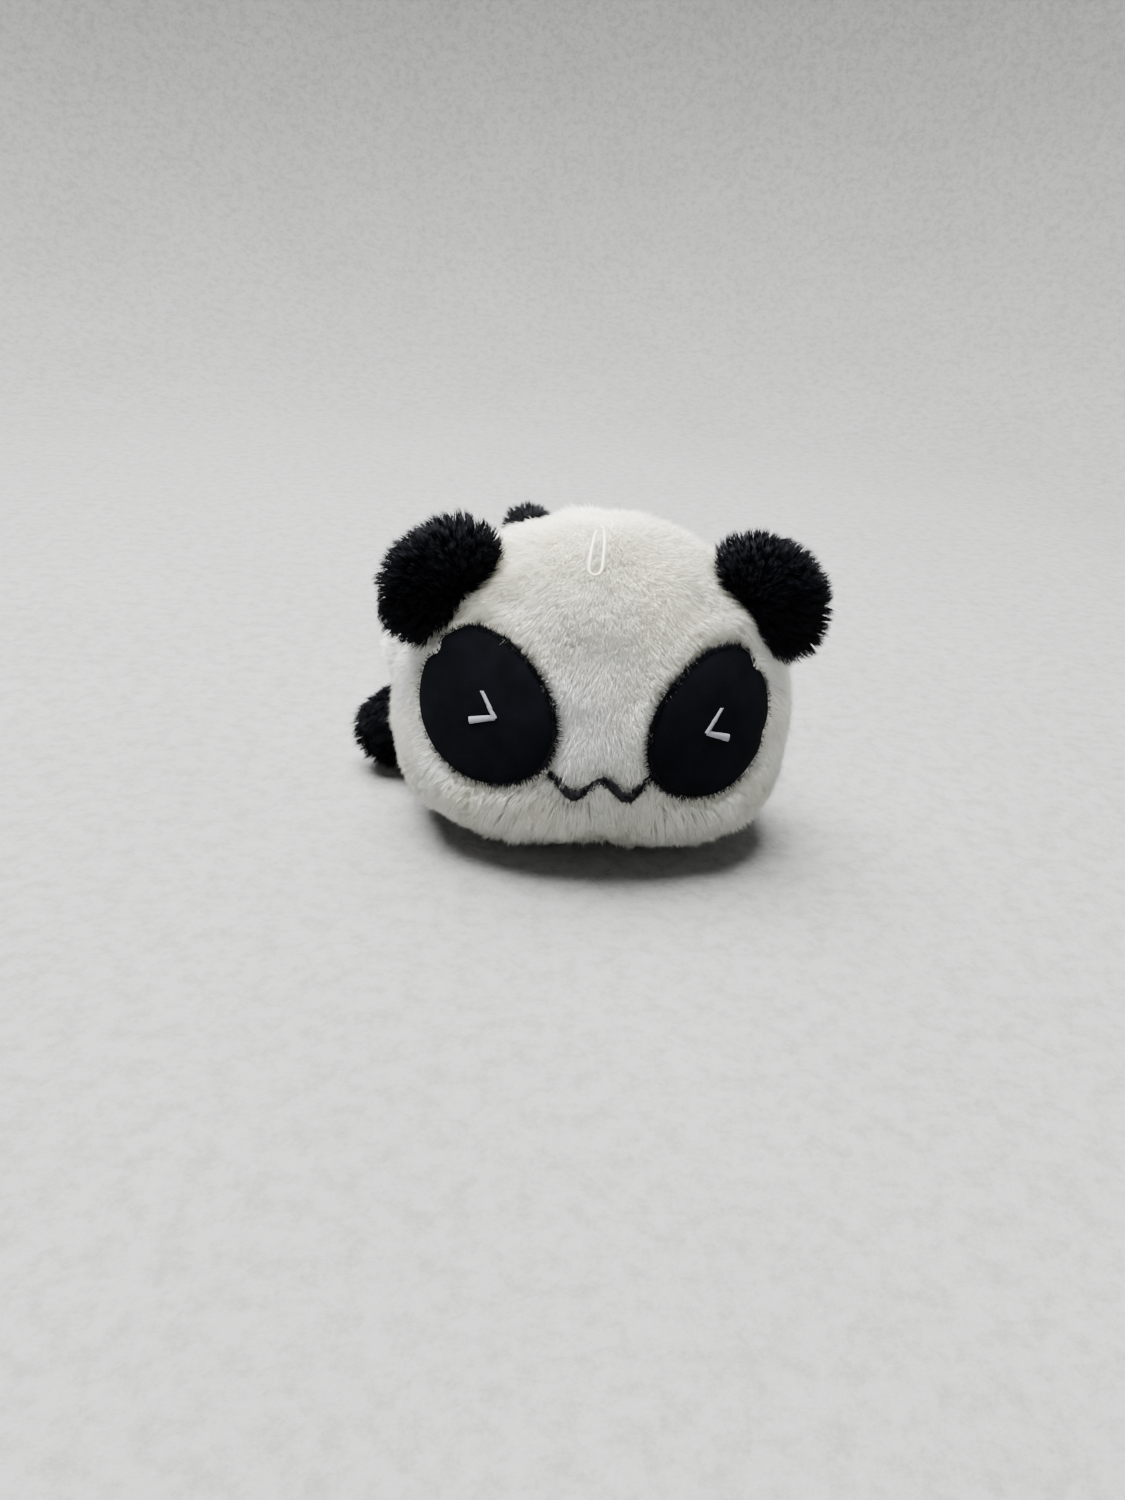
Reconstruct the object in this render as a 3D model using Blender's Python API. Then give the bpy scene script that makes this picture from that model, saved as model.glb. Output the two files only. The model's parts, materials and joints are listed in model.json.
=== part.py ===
"""Plush panda key charm, lying on its belly with its chin on the table.

A big sewn head, a small torso behind it, two arms, two legs, a tail, two
ears, cloth eye patches with stitched winks, a stitched mouth and a short
hanging loop. Covers are open panels of plush around fibre filling.
Metres, +Z up, the face looks along -Y, left pieces are at -X.
"""

import math

import bmesh
import bpy
from mathutils import Matrix, Vector

MM = 0.001
GAP = 0.3 * MM  # between two pieces that touch
PLUSH = 2.4 * MM  # thickness of the plush fabric with its flattened pile
FILL_ROOM = 1.3 * MM  # between a large filling and its panels' inner side

# Head. Its widest level is below its middle, and it is cut flat where it rests.
HEAD_Y = -39.1 * MM
HEAD_LEVEL = 32.0 * MM
HEAD_HALF_WIDTH = 49.0 * MM
HEAD_FRONT = 33.5 * MM
HEAD_BACK = 32.0 * MM
HEAD_UP = 49.0 * MM
HEAD_DOWN = 36.0 * MM
MUZZLE_RISE = 3.0 * MM
MUZZLE_LEVEL = 30.0 * MM
MUZZLE_HALF_WIDTH = 15.0 * MM
MUZZLE_HALF_HEIGHT = 13.0 * MM
HEAD_JOWL = 0.9  # added fullness of the cheeks below the widest level

# Torso, behind the head, with a neck gap that lets the head nod.
NECK_GAP = 0.9 * MM
TORSO_LEVEL = 25.0 * MM
TORSO_HALF_WIDTH = 50.0 * MM
TORSO_HALF_LENGTH = 35.0 * MM
TORSO_TURN = math.radians(8)  # the soft body lies a little turned at the neck
TORSO_UP = 26.0 * MM
TORSO_DOWN = 30.0 * MM
TORSO_FULLNESS = 2.5  # 2 is an ellipsoid, more is boxier
TORSO_Y = HEAD_Y + HEAD_BACK + NECK_GAP + TORSO_HALF_LENGTH
NECK_Y = HEAD_Y + HEAD_BACK + NECK_GAP / 2
BELLY_SEAM_TURN = math.radians(-16)
NECK_STITCH_POLAR = math.radians(28)
THREAD = 0.9 * MM

# Ears, fans that stand on a straight base seam and lean a little forward.
EAR_X = 33.6 * MM
EAR_Y = HEAD_Y - 10.8 * MM
EAR_Z = 64.4 * MM
EAR_BASE_LIFT = 0.7 * MM
EAR_ROLL = math.radians(51.5)  # of the ear's height from upright, outwards
EAR_LEAN = math.radians(12)
EAR_HALF_WIDTH = 14.0 * MM
EAR_CENTRE = 5.6 * MM  # height of its widest line above the base
EAR_TOP = 12.4 * MM  # from the widest line to the tip
EAR_FOOT = 16.0 * MM  # the lower half's own length, of which the base cuts off the end
EAR_PUFF = 3.4 * MM  # of each panel, at its middle
EAR_EDGE = 0.5 * MM

# Eye patches: egg outlines laid on the face, measured across the face.
PATCH_LEFT = (-26.2 * MM, 41.4 * MM)
PATCH_RIGHT = (24.7 * MM, 40.3 * MM)
PATCH_HALF_WIDTH = 14.2 * MM
PATCH_HALF_HEIGHT = 17.4 * MM
PATCH_TAPER = 0.13
PATCH_TILT = math.radians(11)
PATCH_LIFT = 0.5 * MM
PATCH_THICK = 1.1 * MM

# Winks: two satin-stitched strokes on each patch, from the patch's centre.
WINK_TIP = (2.0 * MM, -0.8 * MM)
WINK_UPPER_END = (-1.0 * MM, 4.2 * MM)
WINK_LOWER_END = (-3.4 * MM, -2.8 * MM)
WINK_THIN = 1.1 * MM
WINK_WIDE = 1.7 * MM
WINK_THICK = 0.6 * MM

# Mouth: a thread line shaped like a soft w.
MOUTH_HALF_WIDTH = 12.0 * MM
MOUTH_LEVEL = 27.4 * MM
MOUTH_SWING = 2.2 * MM
MOUTH_THREAD = 1.2 * MM
MOUTH_POINTS = 21

# Limbs and tail: rounded cones, each turning about the centre of its root.
LIMB_ROOT = 6.0 * MM
ARM_RADIUS = 10.4 * MM
ARM_SEAT = (0.80, -0.52, -0.36)  # direction from the torso's middle to the seam
ARM_LEFT_PAW = (-49.3 * MM, 0.4 * MM, 12.0 * MM)  # from the neck, as the torso lies straight
ARM_RIGHT_PAW = (42.0 * MM, -6.2 * MM, 11.0 * MM)  # tucked in behind the cheek
LEG_RADIUS = 10.5 * MM
LEG_LEFT_SEAT = (0.58, 0.76, -0.36)
LEG_LEFT_PAW = (-31.0 * MM, 78.5 * MM, 10.7 * MM)
LEG_RIGHT_SEAT = (0.74, 0.60, -0.38)
LEG_RIGHT_PAW = (57.8 * MM, 64.2 * MM, 10.7 * MM)
TAIL_ROOT = 4.0 * MM
TAIL_SEAT = (-0.08, 0.62, 0.72)
TAIL_BALL = (-5.5 * MM, 70.5 * MM, 47.6 * MM)
TAIL_RADIUS = 8.0 * MM
SEAT_GAP = 0.5 * MM
SOCK_OPENING = math.radians(28)  # half angle of the sewn opening at the root

# Hanging loop: a soft cord that leaves the crown seam and lies on the forehead.
LOOP_CORD = 0.8 * MM
LOOP_EXIT_ANGLE = math.radians(18)  # forward of the crown
LOOP_EXIT_X = -2.8 * MM
LOOP_DRIFT = -1.6 * MM  # how far its end lies to the left of its exit
LOOP_REACH = 14.6 * MM
LOOP_HALF_WIDTH = 1.5 * MM
LOOP_LIFT_START = 0.8 * MM
LOOP_LIFT_END = 2.8 * MM
LOOP_STEPS = 7
KNOT_RADIUS = 1.3 * MM
KNOT_ROOM = 3.4 * MM  # how far the filling stays below the crown


def clear_scene():
    for old in list(bpy.data.objects):
        bpy.data.objects.remove(old, do_unlink=True)


def material(name, colour, roughness):
    made = bpy.data.materials.new(name)
    made.use_nodes = True
    shader = made.node_tree.nodes["Principled BSDF"]
    shader.inputs["Base Color"].default_value = (*colour, 1.0)
    shader.inputs["Roughness"].default_value = roughness
    shader.inputs["Metallic"].default_value = 0.0
    made.diffuse_color = (*colour, 1.0)
    return made


class Form:
    """A full, sewn body: an egg with its own reach each way, cut flat at the table."""

    def __init__(self, y, level, half_width, front, back, up, down, fullness=2.0, jowl=0.0):
        self.y = y
        self.level = level
        self.half_width = half_width
        self.front = front
        self.back = back
        self.up = up
        self.down = down
        self.fullness = fullness
        self.jowl = jowl
        self.muzzle = MUZZLE_RISE if jowl else 0.0

    def muzzle_rise(self, x, z):
        across = (x / MUZZLE_HALF_WIDTH) ** 2
        along = ((z - MUZZLE_LEVEL) / MUZZLE_HALF_HEIGHT) ** 2
        return self.muzzle * math.exp(-across - along)

    def power(self, dz):
        """How boxy the form is at a share of its height: 2 is round, more is fuller."""
        low = min(1.0, max(0.0, -dz / 0.7))
        return self.fullness + self.jowl * low * low * (3 - 2 * low)

    def point(self, direction, inset=0.0):
        """The surface point in a direction, moved in by inset."""
        dz = direction[2]
        for _ in range(5):
            n = self.power(dz)
            size = sum(abs(part) ** n for part in direction) ** (1 / n)
            dz = direction[2] / size
        dx, dy = direction[0] / size, direction[1] / size
        x = (self.half_width - inset) * dx
        y = ((self.front if dy < 0 else self.back) - inset) * dy
        z = self.level + ((self.up if dz > 0 else self.down) - inset) * dz
        y -= self.muzzle_rise(x, z) * max(0.0, -dy)
        return Vector((x, self.y + y, max(z, inset)))

    def at(self, polar, turn, inset=0.0):
        """The surface point at an angle from the front pole, turned about Y from +X."""
        ring = math.sin(polar)
        direction = (ring * math.cos(turn), -math.cos(polar), ring * math.sin(turn))
        return self.point(direction, inset)

    def on_front(self, x, z, lift=0.0):
        """The point on the front face at (x, z), lifted off it along its normal."""

        def flat(px, pz):
            dx = px / self.half_width
            dz = (pz - self.level) / (self.up if pz > self.level else self.down)
            n = self.power(dz)
            dy = max(1e-6, 1 - abs(dx) ** n - abs(dz) ** n) ** (1 / n)
            return Vector((px, self.y - self.front * dy - self.muzzle_rise(px, pz) * dy, pz))

        step = 0.2 * MM
        here = flat(x, z)
        normal = (flat(x + step, z) - here).cross(flat(x, z + step) - here).normalized()
        return here + normal * lift

    def seat(self, direction, away):
        """The point that stands away from the surface, along its normal, over a direction."""
        here = self.point(direction)
        step = 0.02
        side = Vector(direction).orthogonal().normalized() * step
        up = Vector(direction).cross(side).normalized() * step
        normal = (self.point(Vector(direction) + side) - here).cross(
            self.point(Vector(direction) + up) - here
        )
        normal.normalize()
        if normal.dot(Vector(direction)) < 0:
            normal.negate()
        return here + normal * away


def finish(mesh, name, finish_material):
    """Closes a bmesh into a named, smooth-shaded object with its normals facing out."""
    bmesh.ops.remove_doubles(mesh, verts=mesh.verts, dist=0.02 * MM)
    bmesh.ops.recalc_face_normals(mesh, faces=mesh.faces)
    data = bpy.data.meshes.new(name)
    mesh.to_mesh(data)
    mesh.free()
    data.materials.append(finish_material)
    data.shade_smooth()
    data.set_sharp_from_angle(angle=math.radians(40))
    made = bpy.data.objects.new(name, data)
    bpy.context.collection.objects.link(made)
    return made


def skin(mesh, grid, wrap):
    """Faces between neighbouring points of a grid; wrap joins the last column to the first."""
    rows = [[mesh.verts.new(point) for point in row] for row in grid]
    for low, high in zip(rows, rows[1:]):
        count = len(low)
        for j in range(count if wrap else count - 1):
            k = (j + 1) % count
            mesh.faces.new((low[j], low[k], high[k], high[j]))
    return rows


def rim(mesh, outer, inner, wrap=False):
    """A strip of faces that closes the edge between two lines of vertices."""
    count = len(outer)
    for j in range(count if wrap else count - 1):
        k = (j + 1) % count
        mesh.faces.new((outer[j], outer[k], inner[k], inner[j]))


def drawn_back(grid, rows_too_low, rows_too_high, columns_too):
    """The grid with its open borders pulled in by half the seam gap."""
    half = GAP / 2

    def pulled(point, neighbour):
        return point + (neighbour - point).normalized() * half

    grid = [list(row) for row in grid]
    if rows_too_low:
        grid[0] = [pulled(a, b) for a, b in zip(grid[0], grid[1])]
    if rows_too_high:
        grid[-1] = [pulled(a, b) for a, b in zip(grid[-1], grid[-2])]
    if columns_too:
        for row in grid:
            row[0], row[-1] = pulled(row[0], row[1]), pulled(row[-1], row[-2])
    return grid


def shell_panel(name, form, polars, turns, rows, columns, finish_material):
    """A panel of plush cut from a form: an outer and an inner skin joined by open seam edges."""
    whole_turn = abs(turns[1] - turns[0] - math.tau) < 1e-6
    from_pole = polars[0] == 0
    steps = columns if whole_turn else columns + 1

    def grid(inset):
        made = [
            [
                form.at(
                    polars[0] + (polars[1] - polars[0]) * i / rows,
                    turns[0] + (turns[1] - turns[0]) * j / columns,
                    inset,
                )
                for j in range(steps)
            ]
            for i in range(rows + 1)
        ]
        return drawn_back(made, not from_pole, True, not whole_turn)

    mesh = bmesh.new()
    outer = skin(mesh, grid(0.0), whole_turn)
    inner = skin(mesh, grid(PLUSH), whole_turn)
    if not from_pole:
        rim(mesh, outer[0], inner[0], whole_turn)
    rim(mesh, outer[-1], inner[-1], whole_turn)
    if not whole_turn:
        rim(mesh, [row[0] for row in outer], [row[0] for row in inner])
        rim(mesh, [row[-1] for row in outer], [row[-1] for row in inner])
    return finish(mesh, name, finish_material)


def filling(name, form, rows, columns, finish_material, crown_room=0.0):
    """The fibre filling inside a form, a plain closed body."""
    inset = PLUSH + FILL_ROOM
    top = form.level + form.up - PLUSH - crown_room
    grid = []
    for i in range(rows + 1):
        row = []
        for j in range(columns):
            point = form.at(math.pi * i / rows, math.tau * j / columns, inset)
            point.z = min(point.z, top)
            row.append(point)
        grid.append(row)
    mesh = bmesh.new()
    skin(mesh, grid, True)
    return finish(mesh, name, finish_material)


def pad(name, form, centre, outline, rings, lift, thickness, finish_material):
    """A thin flat piece that follows the front of a form: an outline in (x, z) filled in rings."""
    mesh = bmesh.new()
    layers = []
    for height in (lift, lift + thickness):
        grid = []
        for i in range(rings + 1):
            share = i / rings
            grid.append(
                [
                    form.on_front(centre[0] + dx * share, centre[1] + dz * share, height)
                    for dx, dz in outline
                ]
            )
        layers.append(skin(mesh, grid, True))
    rim(mesh, layers[0][-1], layers[1][-1], True)
    return finish(mesh, name, finish_material)


def patch_centre(side):
    return PATCH_LEFT if side < 0 else PATCH_RIGHT


def egg(side, points=24):
    """The eye patch's outline about its centre, its narrow end up and leaning outwards."""
    tilt = side * PATCH_TILT
    outline = []
    for i in range(points):
        angle = math.tau * i / points
        x = PATCH_HALF_WIDTH * math.sin(angle) * (1 - PATCH_TAPER * math.cos(angle))
        z = PATCH_HALF_HEIGHT * math.cos(angle)
        outline.append(
            (x * math.cos(tilt) + z * math.sin(tilt), z * math.cos(tilt) - x * math.sin(tilt))
        )
    return outline


def wink_outline(side):
    """Two strokes that meet at a tip pointing to the nose, as one outline."""
    tip, upper, lower = Vector(WINK_TIP), Vector(WINK_UPPER_END), Vector(WINK_LOWER_END)

    def across(end, width):
        run = (end - tip).normalized()
        return Vector((-run.y, run.x)) * width / 2

    thin, wide = across(upper, WINK_THIN), across(lower, WINK_WIDE)
    inner_corner = tip + (upper - tip).normalized() * 2.0 * MM + thin
    inner_corner_low = tip + (lower - tip).normalized() * 1.7 * MM - wide
    nose_corner = tip + Vector((0.3 * MM, -0.2 * MM))
    corners = [
        upper + thin,
        inner_corner,
        inner_corner_low,
        lower - wide,
        lower + wide,
        nose_corner + wide * 0.6,
        nose_corner - thin,
        upper - thin,
    ]
    return [(-side * corner.x, corner.y) for corner in corners]


def wink(side, form, finish_material):
    """The stitched wink of one eye, standing on its patch."""
    name = "wink_stitching_" + side_name(side)
    outline = wink_outline(side)
    centre = patch_centre(side)
    lift = PATCH_LIFT + PATCH_THICK + GAP
    mesh = bmesh.new()
    layers = []
    for height in (lift, lift + WINK_THICK):
        points = [
            form.on_front(centre[0] + x, centre[1] + z, height) for x, z in outline
        ]
        corners = [mesh.verts.new(point) for point in points]
        # The two strokes are two quads that share the edge at the tip.
        mesh.faces.new((corners[0], corners[1], corners[6], corners[7]))
        mesh.faces.new((corners[1], corners[2], corners[5], corners[6]))
        mesh.faces.new((corners[2], corners[3], corners[4], corners[5]))
        layers.append(corners)
    rim(mesh, layers[0], layers[1], True)
    bmesh.ops.triangulate(mesh, faces=mesh.faces)
    return finish(mesh, name, finish_material)


def side_name(side):
    return "left" if side < 0 else "right"


def cord(name, points, diameter, finish_material, closed=False):
    """A round thread or cord along a line of points."""
    data = bpy.data.curves.new(name, "CURVE")
    data.dimensions = "3D"
    data.bevel_depth = diameter / 2
    data.bevel_resolution = 2
    data.use_fill_caps = not closed
    line = data.splines.new("POLY")
    line.points.add(len(points) - 1)
    for slot, point in zip(line.points, points):
        slot.co = (*point, 1.0)
    line.use_cyclic_u = closed
    data.materials.append(finish_material)
    made = bpy.data.objects.new(name, data)
    bpy.context.collection.objects.link(made)
    return made


def mouth_points(form):
    """The soft w of the mouth: high at its middle and its two ends."""
    lift = GAP + MOUTH_THREAD / 2 + 0.2 * MM
    points = []
    for i in range(MOUTH_POINTS):
        share = 2 * i / (MOUTH_POINTS - 1) - 1
        x = share * MOUTH_HALF_WIDTH
        z = MOUTH_LEVEL + MOUTH_SWING * math.cos(math.tau * share)
        points.append(form.on_front(x, z, lift))
    return points


def ear_frame(side):
    """The ear's place: its base line along local X, its height along Z, its back along +Y."""
    out, up = math.sin(EAR_ROLL), math.cos(EAR_ROLL)
    base = Vector((up * side, 0.0, -out))
    height = Vector((out * math.cos(EAR_LEAN) * side, -math.sin(EAR_LEAN), up * math.cos(EAR_LEAN)))
    back = height.cross(base) if side > 0 else base.cross(height)
    turn = Matrix((base, back, height)).transposed().to_4x4()
    return Matrix.Translation((side * EAR_X, EAR_Y, EAR_Z)) @ turn


def ear_panel(side, facing, finish_material):
    """One of an ear's two plush panels, a lens with its flat side on the ear's middle."""
    part = "front" if facing < 0 else "back"
    name = f"ear_{part}_panel_{side_name(side)}"
    rows, columns = 7, 10
    height = EAR_CENTRE + EAR_TOP
    skins = ([], [])
    for i in range(rows + 1):
        rise = height * (1 - math.cos(math.pi * (0.5 + 0.5 * i / rows))) - height
        rise = min(rise, height * 0.999)
        above = rise - EAR_CENTRE
        reach = EAR_TOP if above > 0 else EAR_FOOT
        half = EAR_HALF_WIDTH * math.sqrt(max(0.004, 1 - (above / reach) ** 2))
        foot = min(1.0, rise / (0.45 * height))
        puff = math.sqrt(max(0.0, 1 - (above / reach) ** 2)) * math.sin(foot * math.pi / 2)
        flat_row, full_row = [], []
        for j in range(columns + 1):
            across = -math.cos(math.pi * j / columns)
            swell = EAR_EDGE + (EAR_PUFF - EAR_EDGE) * puff * math.sqrt(max(0, 1 - across**2))
            x, z = across * half, rise + EAR_BASE_LIFT
            flat_row.append(Vector((x, facing * GAP / 2, z)))
            full_row.append(Vector((x, facing * (GAP / 2 + swell), z)))
        skins[0].append(flat_row)
        skins[1].append(full_row)
    mesh = bmesh.new()
    flat, full = (skin(mesh, grid, False) for grid in skins)
    rim(mesh, flat[0], full[0])
    rim(mesh, flat[-1], full[-1])
    rim(mesh, [row[0] for row in flat], [row[0] for row in full])
    rim(mesh, [row[-1] for row in flat], [row[-1] for row in full])
    made = finish(mesh, name, finish_material)
    made.matrix_world = ear_frame(side)
    return made


def limb_profile(length, root, end, inset, from_angle, points_each=4):
    """Radius and height along a rounded cone, from its root's edge to its tip on the axis."""
    slope = math.asin((end - root) / length)
    line = []
    for i in range(points_each + 1):
        angle = from_angle + (math.pi / 2 + slope - from_angle) * i / points_each
        line.append(((root - inset) * math.sin(angle), -(root - inset) * math.cos(angle)))
    for i in range(points_each + 2):
        angle = math.pi / 2 + slope + (math.pi / 2 - slope) * i / (points_each + 1)
        line.append(
            ((end - inset) * math.sin(angle), length - (end - inset) * math.cos(angle))
        )
    return line


def turned(name, profile, finish_material, sides=16):
    """A body turned about Z from a profile of (radius, height), both ends as given."""
    mesh = bmesh.new()
    verts = [mesh.verts.new((max(radius, 0.0), 0.0, height)) for radius, height in profile]
    edges = [mesh.edges.new(pair) for pair in zip(verts, verts[1:])]
    bmesh.ops.spin(
        mesh,
        geom=verts + edges,
        cent=(0, 0, 0),
        axis=(0, 0, 1),
        angle=math.tau,
        steps=sides,
        use_merge=True,
    )
    return finish(mesh, name, finish_material)


def limb(name, pivot, tip, root, end, cover_material, fill_material, sides=16):
    """A sewn sock, open at its root, and its filling, both turning about the root's centre."""
    run = Vector(tip) - Vector(pivot)
    length = run.length
    outer = limb_profile(length, root, end, 0.0, SOCK_OPENING)
    inner = limb_profile(length, root, end, PLUSH, SOCK_OPENING)
    cover = turned(name + "_cover", outer[::-1] + inner, cover_material, sides)
    stuffing = limb_profile(length, root, end, PLUSH + GAP, 0.0)
    fill = turned(name + "_filling", stuffing, fill_material, sides)
    for piece in (cover, fill):
        piece.location = pivot
        piece.rotation_mode = "QUATERNION"
        piece.rotation_quaternion = run.to_track_quat("Z", "X")
    return cover, fill


def forehead(form, arc, x, lift):
    """The point a given way down the forehead from the loop's exit, lifted off the plush."""
    angle = LOOP_EXIT_ANGLE + arc / (form.up * 0.86)
    dy, dz = -math.sin(angle), math.cos(angle)
    z = form.level + form.up * dz
    y = form.y + form.front * dy
    normal = Vector((0.0, dy / form.front, dz / form.up)).normalized()
    x += LOOP_EXIT_X + LOOP_DRIFT * arc / LOOP_REACH
    return Vector((x, y, z)) + normal * lift


def loop_points(form):
    """Down one strand, round the end and back up the other."""

    def lift(arc):
        share = min(1.0, arc / (0.5 * LOOP_REACH))
        return LOOP_LIFT_START + (LOOP_LIFT_END - LOOP_LIFT_START) * math.sin(
            share * math.pi / 2
        )

    straight = LOOP_REACH - LOOP_HALF_WIDTH
    strand = []
    for i in range(LOOP_STEPS):
        arc = straight * i / (LOOP_STEPS - 1)
        spread = 0.55 + 0.45 * math.sin(math.pi / 2 * i / (LOOP_STEPS - 1))
        strand.append((arc, -LOOP_HALF_WIDTH * spread))
    bend = []
    for i in range(1, 4):
        angle = math.pi * i / 4
        bend.append(
            (straight + LOOP_HALF_WIDTH * math.sin(angle), -LOOP_HALF_WIDTH * math.cos(angle))
        )
    route = strand + bend + [(arc, -x) for arc, x in reversed(strand)]
    return [forehead(form, arc, x, lift(arc)) for arc, x in route]


def build_head(form, white, black, felt, satin, thread, fibre):
    quarter = math.pi / 2
    shell_panel("head_face_panel", form, (0.0, quarter), (0.0, math.tau), 11, 32, white)
    back = (quarter, math.radians(172))
    shell_panel(
        "head_back_panel_left", form, back, (quarter, 3 * quarter), 8, 16, white
    )
    shell_panel(
        "head_back_panel_right", form, back, (-quarter, quarter), 8, 16, white
    )
    filling("head_filling", form, 12, 20, fibre, KNOT_ROOM)
    for side in (-1, 1):
        label = side_name(side)
        pad(
            "eye_patch_" + label,
            form,
            patch_centre(side),
            egg(side),
            4,
            PATCH_LIFT,
            PATCH_THICK,
            felt,
        )
        wink(side, form, satin)
        ear_panel(side, -1, black)
        ear_panel(side, 1, black)
    cord("mouth_stitching", mouth_points(form), MOUTH_THREAD, thread)


def build_torso(form, white, fibre, thread):
    seam_left = math.pi - BELLY_SEAM_TURN
    ends = (math.radians(10), math.radians(177))
    top = math.pi / 2
    shell_panel("torso_back_panel_right", form, ends, (BELLY_SEAM_TURN, top), 13, 8, white)
    shell_panel("torso_back_panel_left", form, ends, (top, seam_left), 13, 8, white)
    belly = (seam_left, math.tau + BELLY_SEAM_TURN)
    shell_panel("belly_panel", form, ends, belly, 13, 10, white)
    filling("torso_filling", form, 12, 20, fibre)
    lift = -(GAP + THREAD / 2)
    ring = [form.at(NECK_STITCH_POLAR, math.tau * i / 22, lift) for i in range(22)]
    cord("neck_stitching", ring, THREAD, thread, closed=True)


def build_limbs(form, black, fibre):
    away = LIMB_ROOT + SEAT_GAP
    neck = Vector((0.0, NECK_Y, 0.0))
    for name, paw, radius, seat in (
        ("arm_left", ARM_LEFT_PAW, ARM_RADIUS, ARM_SEAT),
        ("arm_right", ARM_RIGHT_PAW, ARM_RADIUS, ARM_SEAT),
        ("leg_left", LEG_LEFT_PAW, LEG_RADIUS, LEG_LEFT_SEAT),
        ("leg_right", LEG_RIGHT_PAW, LEG_RADIUS, LEG_RIGHT_SEAT),
    ):
        side = -1 if paw[0] < 0 else 1
        pivot = form.seat((seat[0] * side, seat[1], seat[2]), away)
        limb(name, pivot, neck + Vector(paw), LIMB_ROOT, radius, black, fibre)
    pivot = form.seat(TAIL_SEAT, TAIL_ROOT + SEAT_GAP)
    ball = neck + Vector(TAIL_BALL)
    limb("tail", pivot, ball, TAIL_ROOT, TAIL_RADIUS, black, fibre, sides=14)


def turn_torso(pieces):
    """Hangs the torso's pieces on an empty at the neck and turns it."""
    neck = bpy.data.objects.new("neck_pivot", None)
    neck.empty_display_size = 0.01
    neck.location = (0.0, NECK_Y, 0.0)
    bpy.context.collection.objects.link(neck)
    bpy.context.view_layer.update()
    for piece in pieces:
        piece.parent = neck
        piece.matrix_parent_inverse = neck.matrix_world.inverted()
    neck.rotation_euler.z = TORSO_TURN


def build_loop(form, cord_material):
    cord("hanging_loop", loop_points(form), LOOP_CORD, cord_material)
    mesh = bmesh.new()
    bmesh.ops.create_icosphere(mesh, subdivisions=2, radius=KNOT_RADIUS)
    knot = finish(mesh, "loop_knot", cord_material)
    crown = form.level + form.up
    knot.location = (0.0, HEAD_Y, crown - PLUSH - GAP - KNOT_RADIUS)


def main():
    clear_scene()
    white = material("white_plush", (0.90, 0.90, 0.86), 0.95)
    black = material("black_plush", (0.012, 0.013, 0.022), 0.9)
    felt = material("patch_cloth", (0.010, 0.011, 0.016), 0.85)
    satin = material("white_satin_thread", (0.80, 0.81, 0.84), 0.35)
    dark_thread = material("dark_thread", (0.02, 0.02, 0.028), 0.6)
    white_thread = material("white_thread", (0.85, 0.85, 0.82), 0.6)
    fibre = material("fibre_filling", (0.92, 0.92, 0.90), 1.0)
    soft_cord = material("soft_cord", (0.86, 0.86, 0.76), 0.4)

    head = Form(
        HEAD_Y,
        HEAD_LEVEL,
        HEAD_HALF_WIDTH,
        HEAD_FRONT,
        HEAD_BACK,
        HEAD_UP,
        HEAD_DOWN,
        jowl=HEAD_JOWL,
    )
    torso = Form(
        TORSO_Y,
        TORSO_LEVEL,
        TORSO_HALF_WIDTH,
        TORSO_HALF_LENGTH,
        TORSO_HALF_LENGTH,
        TORSO_UP,
        TORSO_DOWN,
        fullness=TORSO_FULLNESS,
    )
    build_torso(torso, white, fibre, white_thread)
    build_limbs(torso, black, fibre)
    turn_torso(list(bpy.context.collection.objects))
    build_head(head, white, black, felt, satin, dark_thread, fibre)
    build_loop(head, soft_cord)


main()
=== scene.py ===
"""Plush panda key charm: sewn skins with a pile, stitched face, cord loop and studio floor."""

import math

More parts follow.
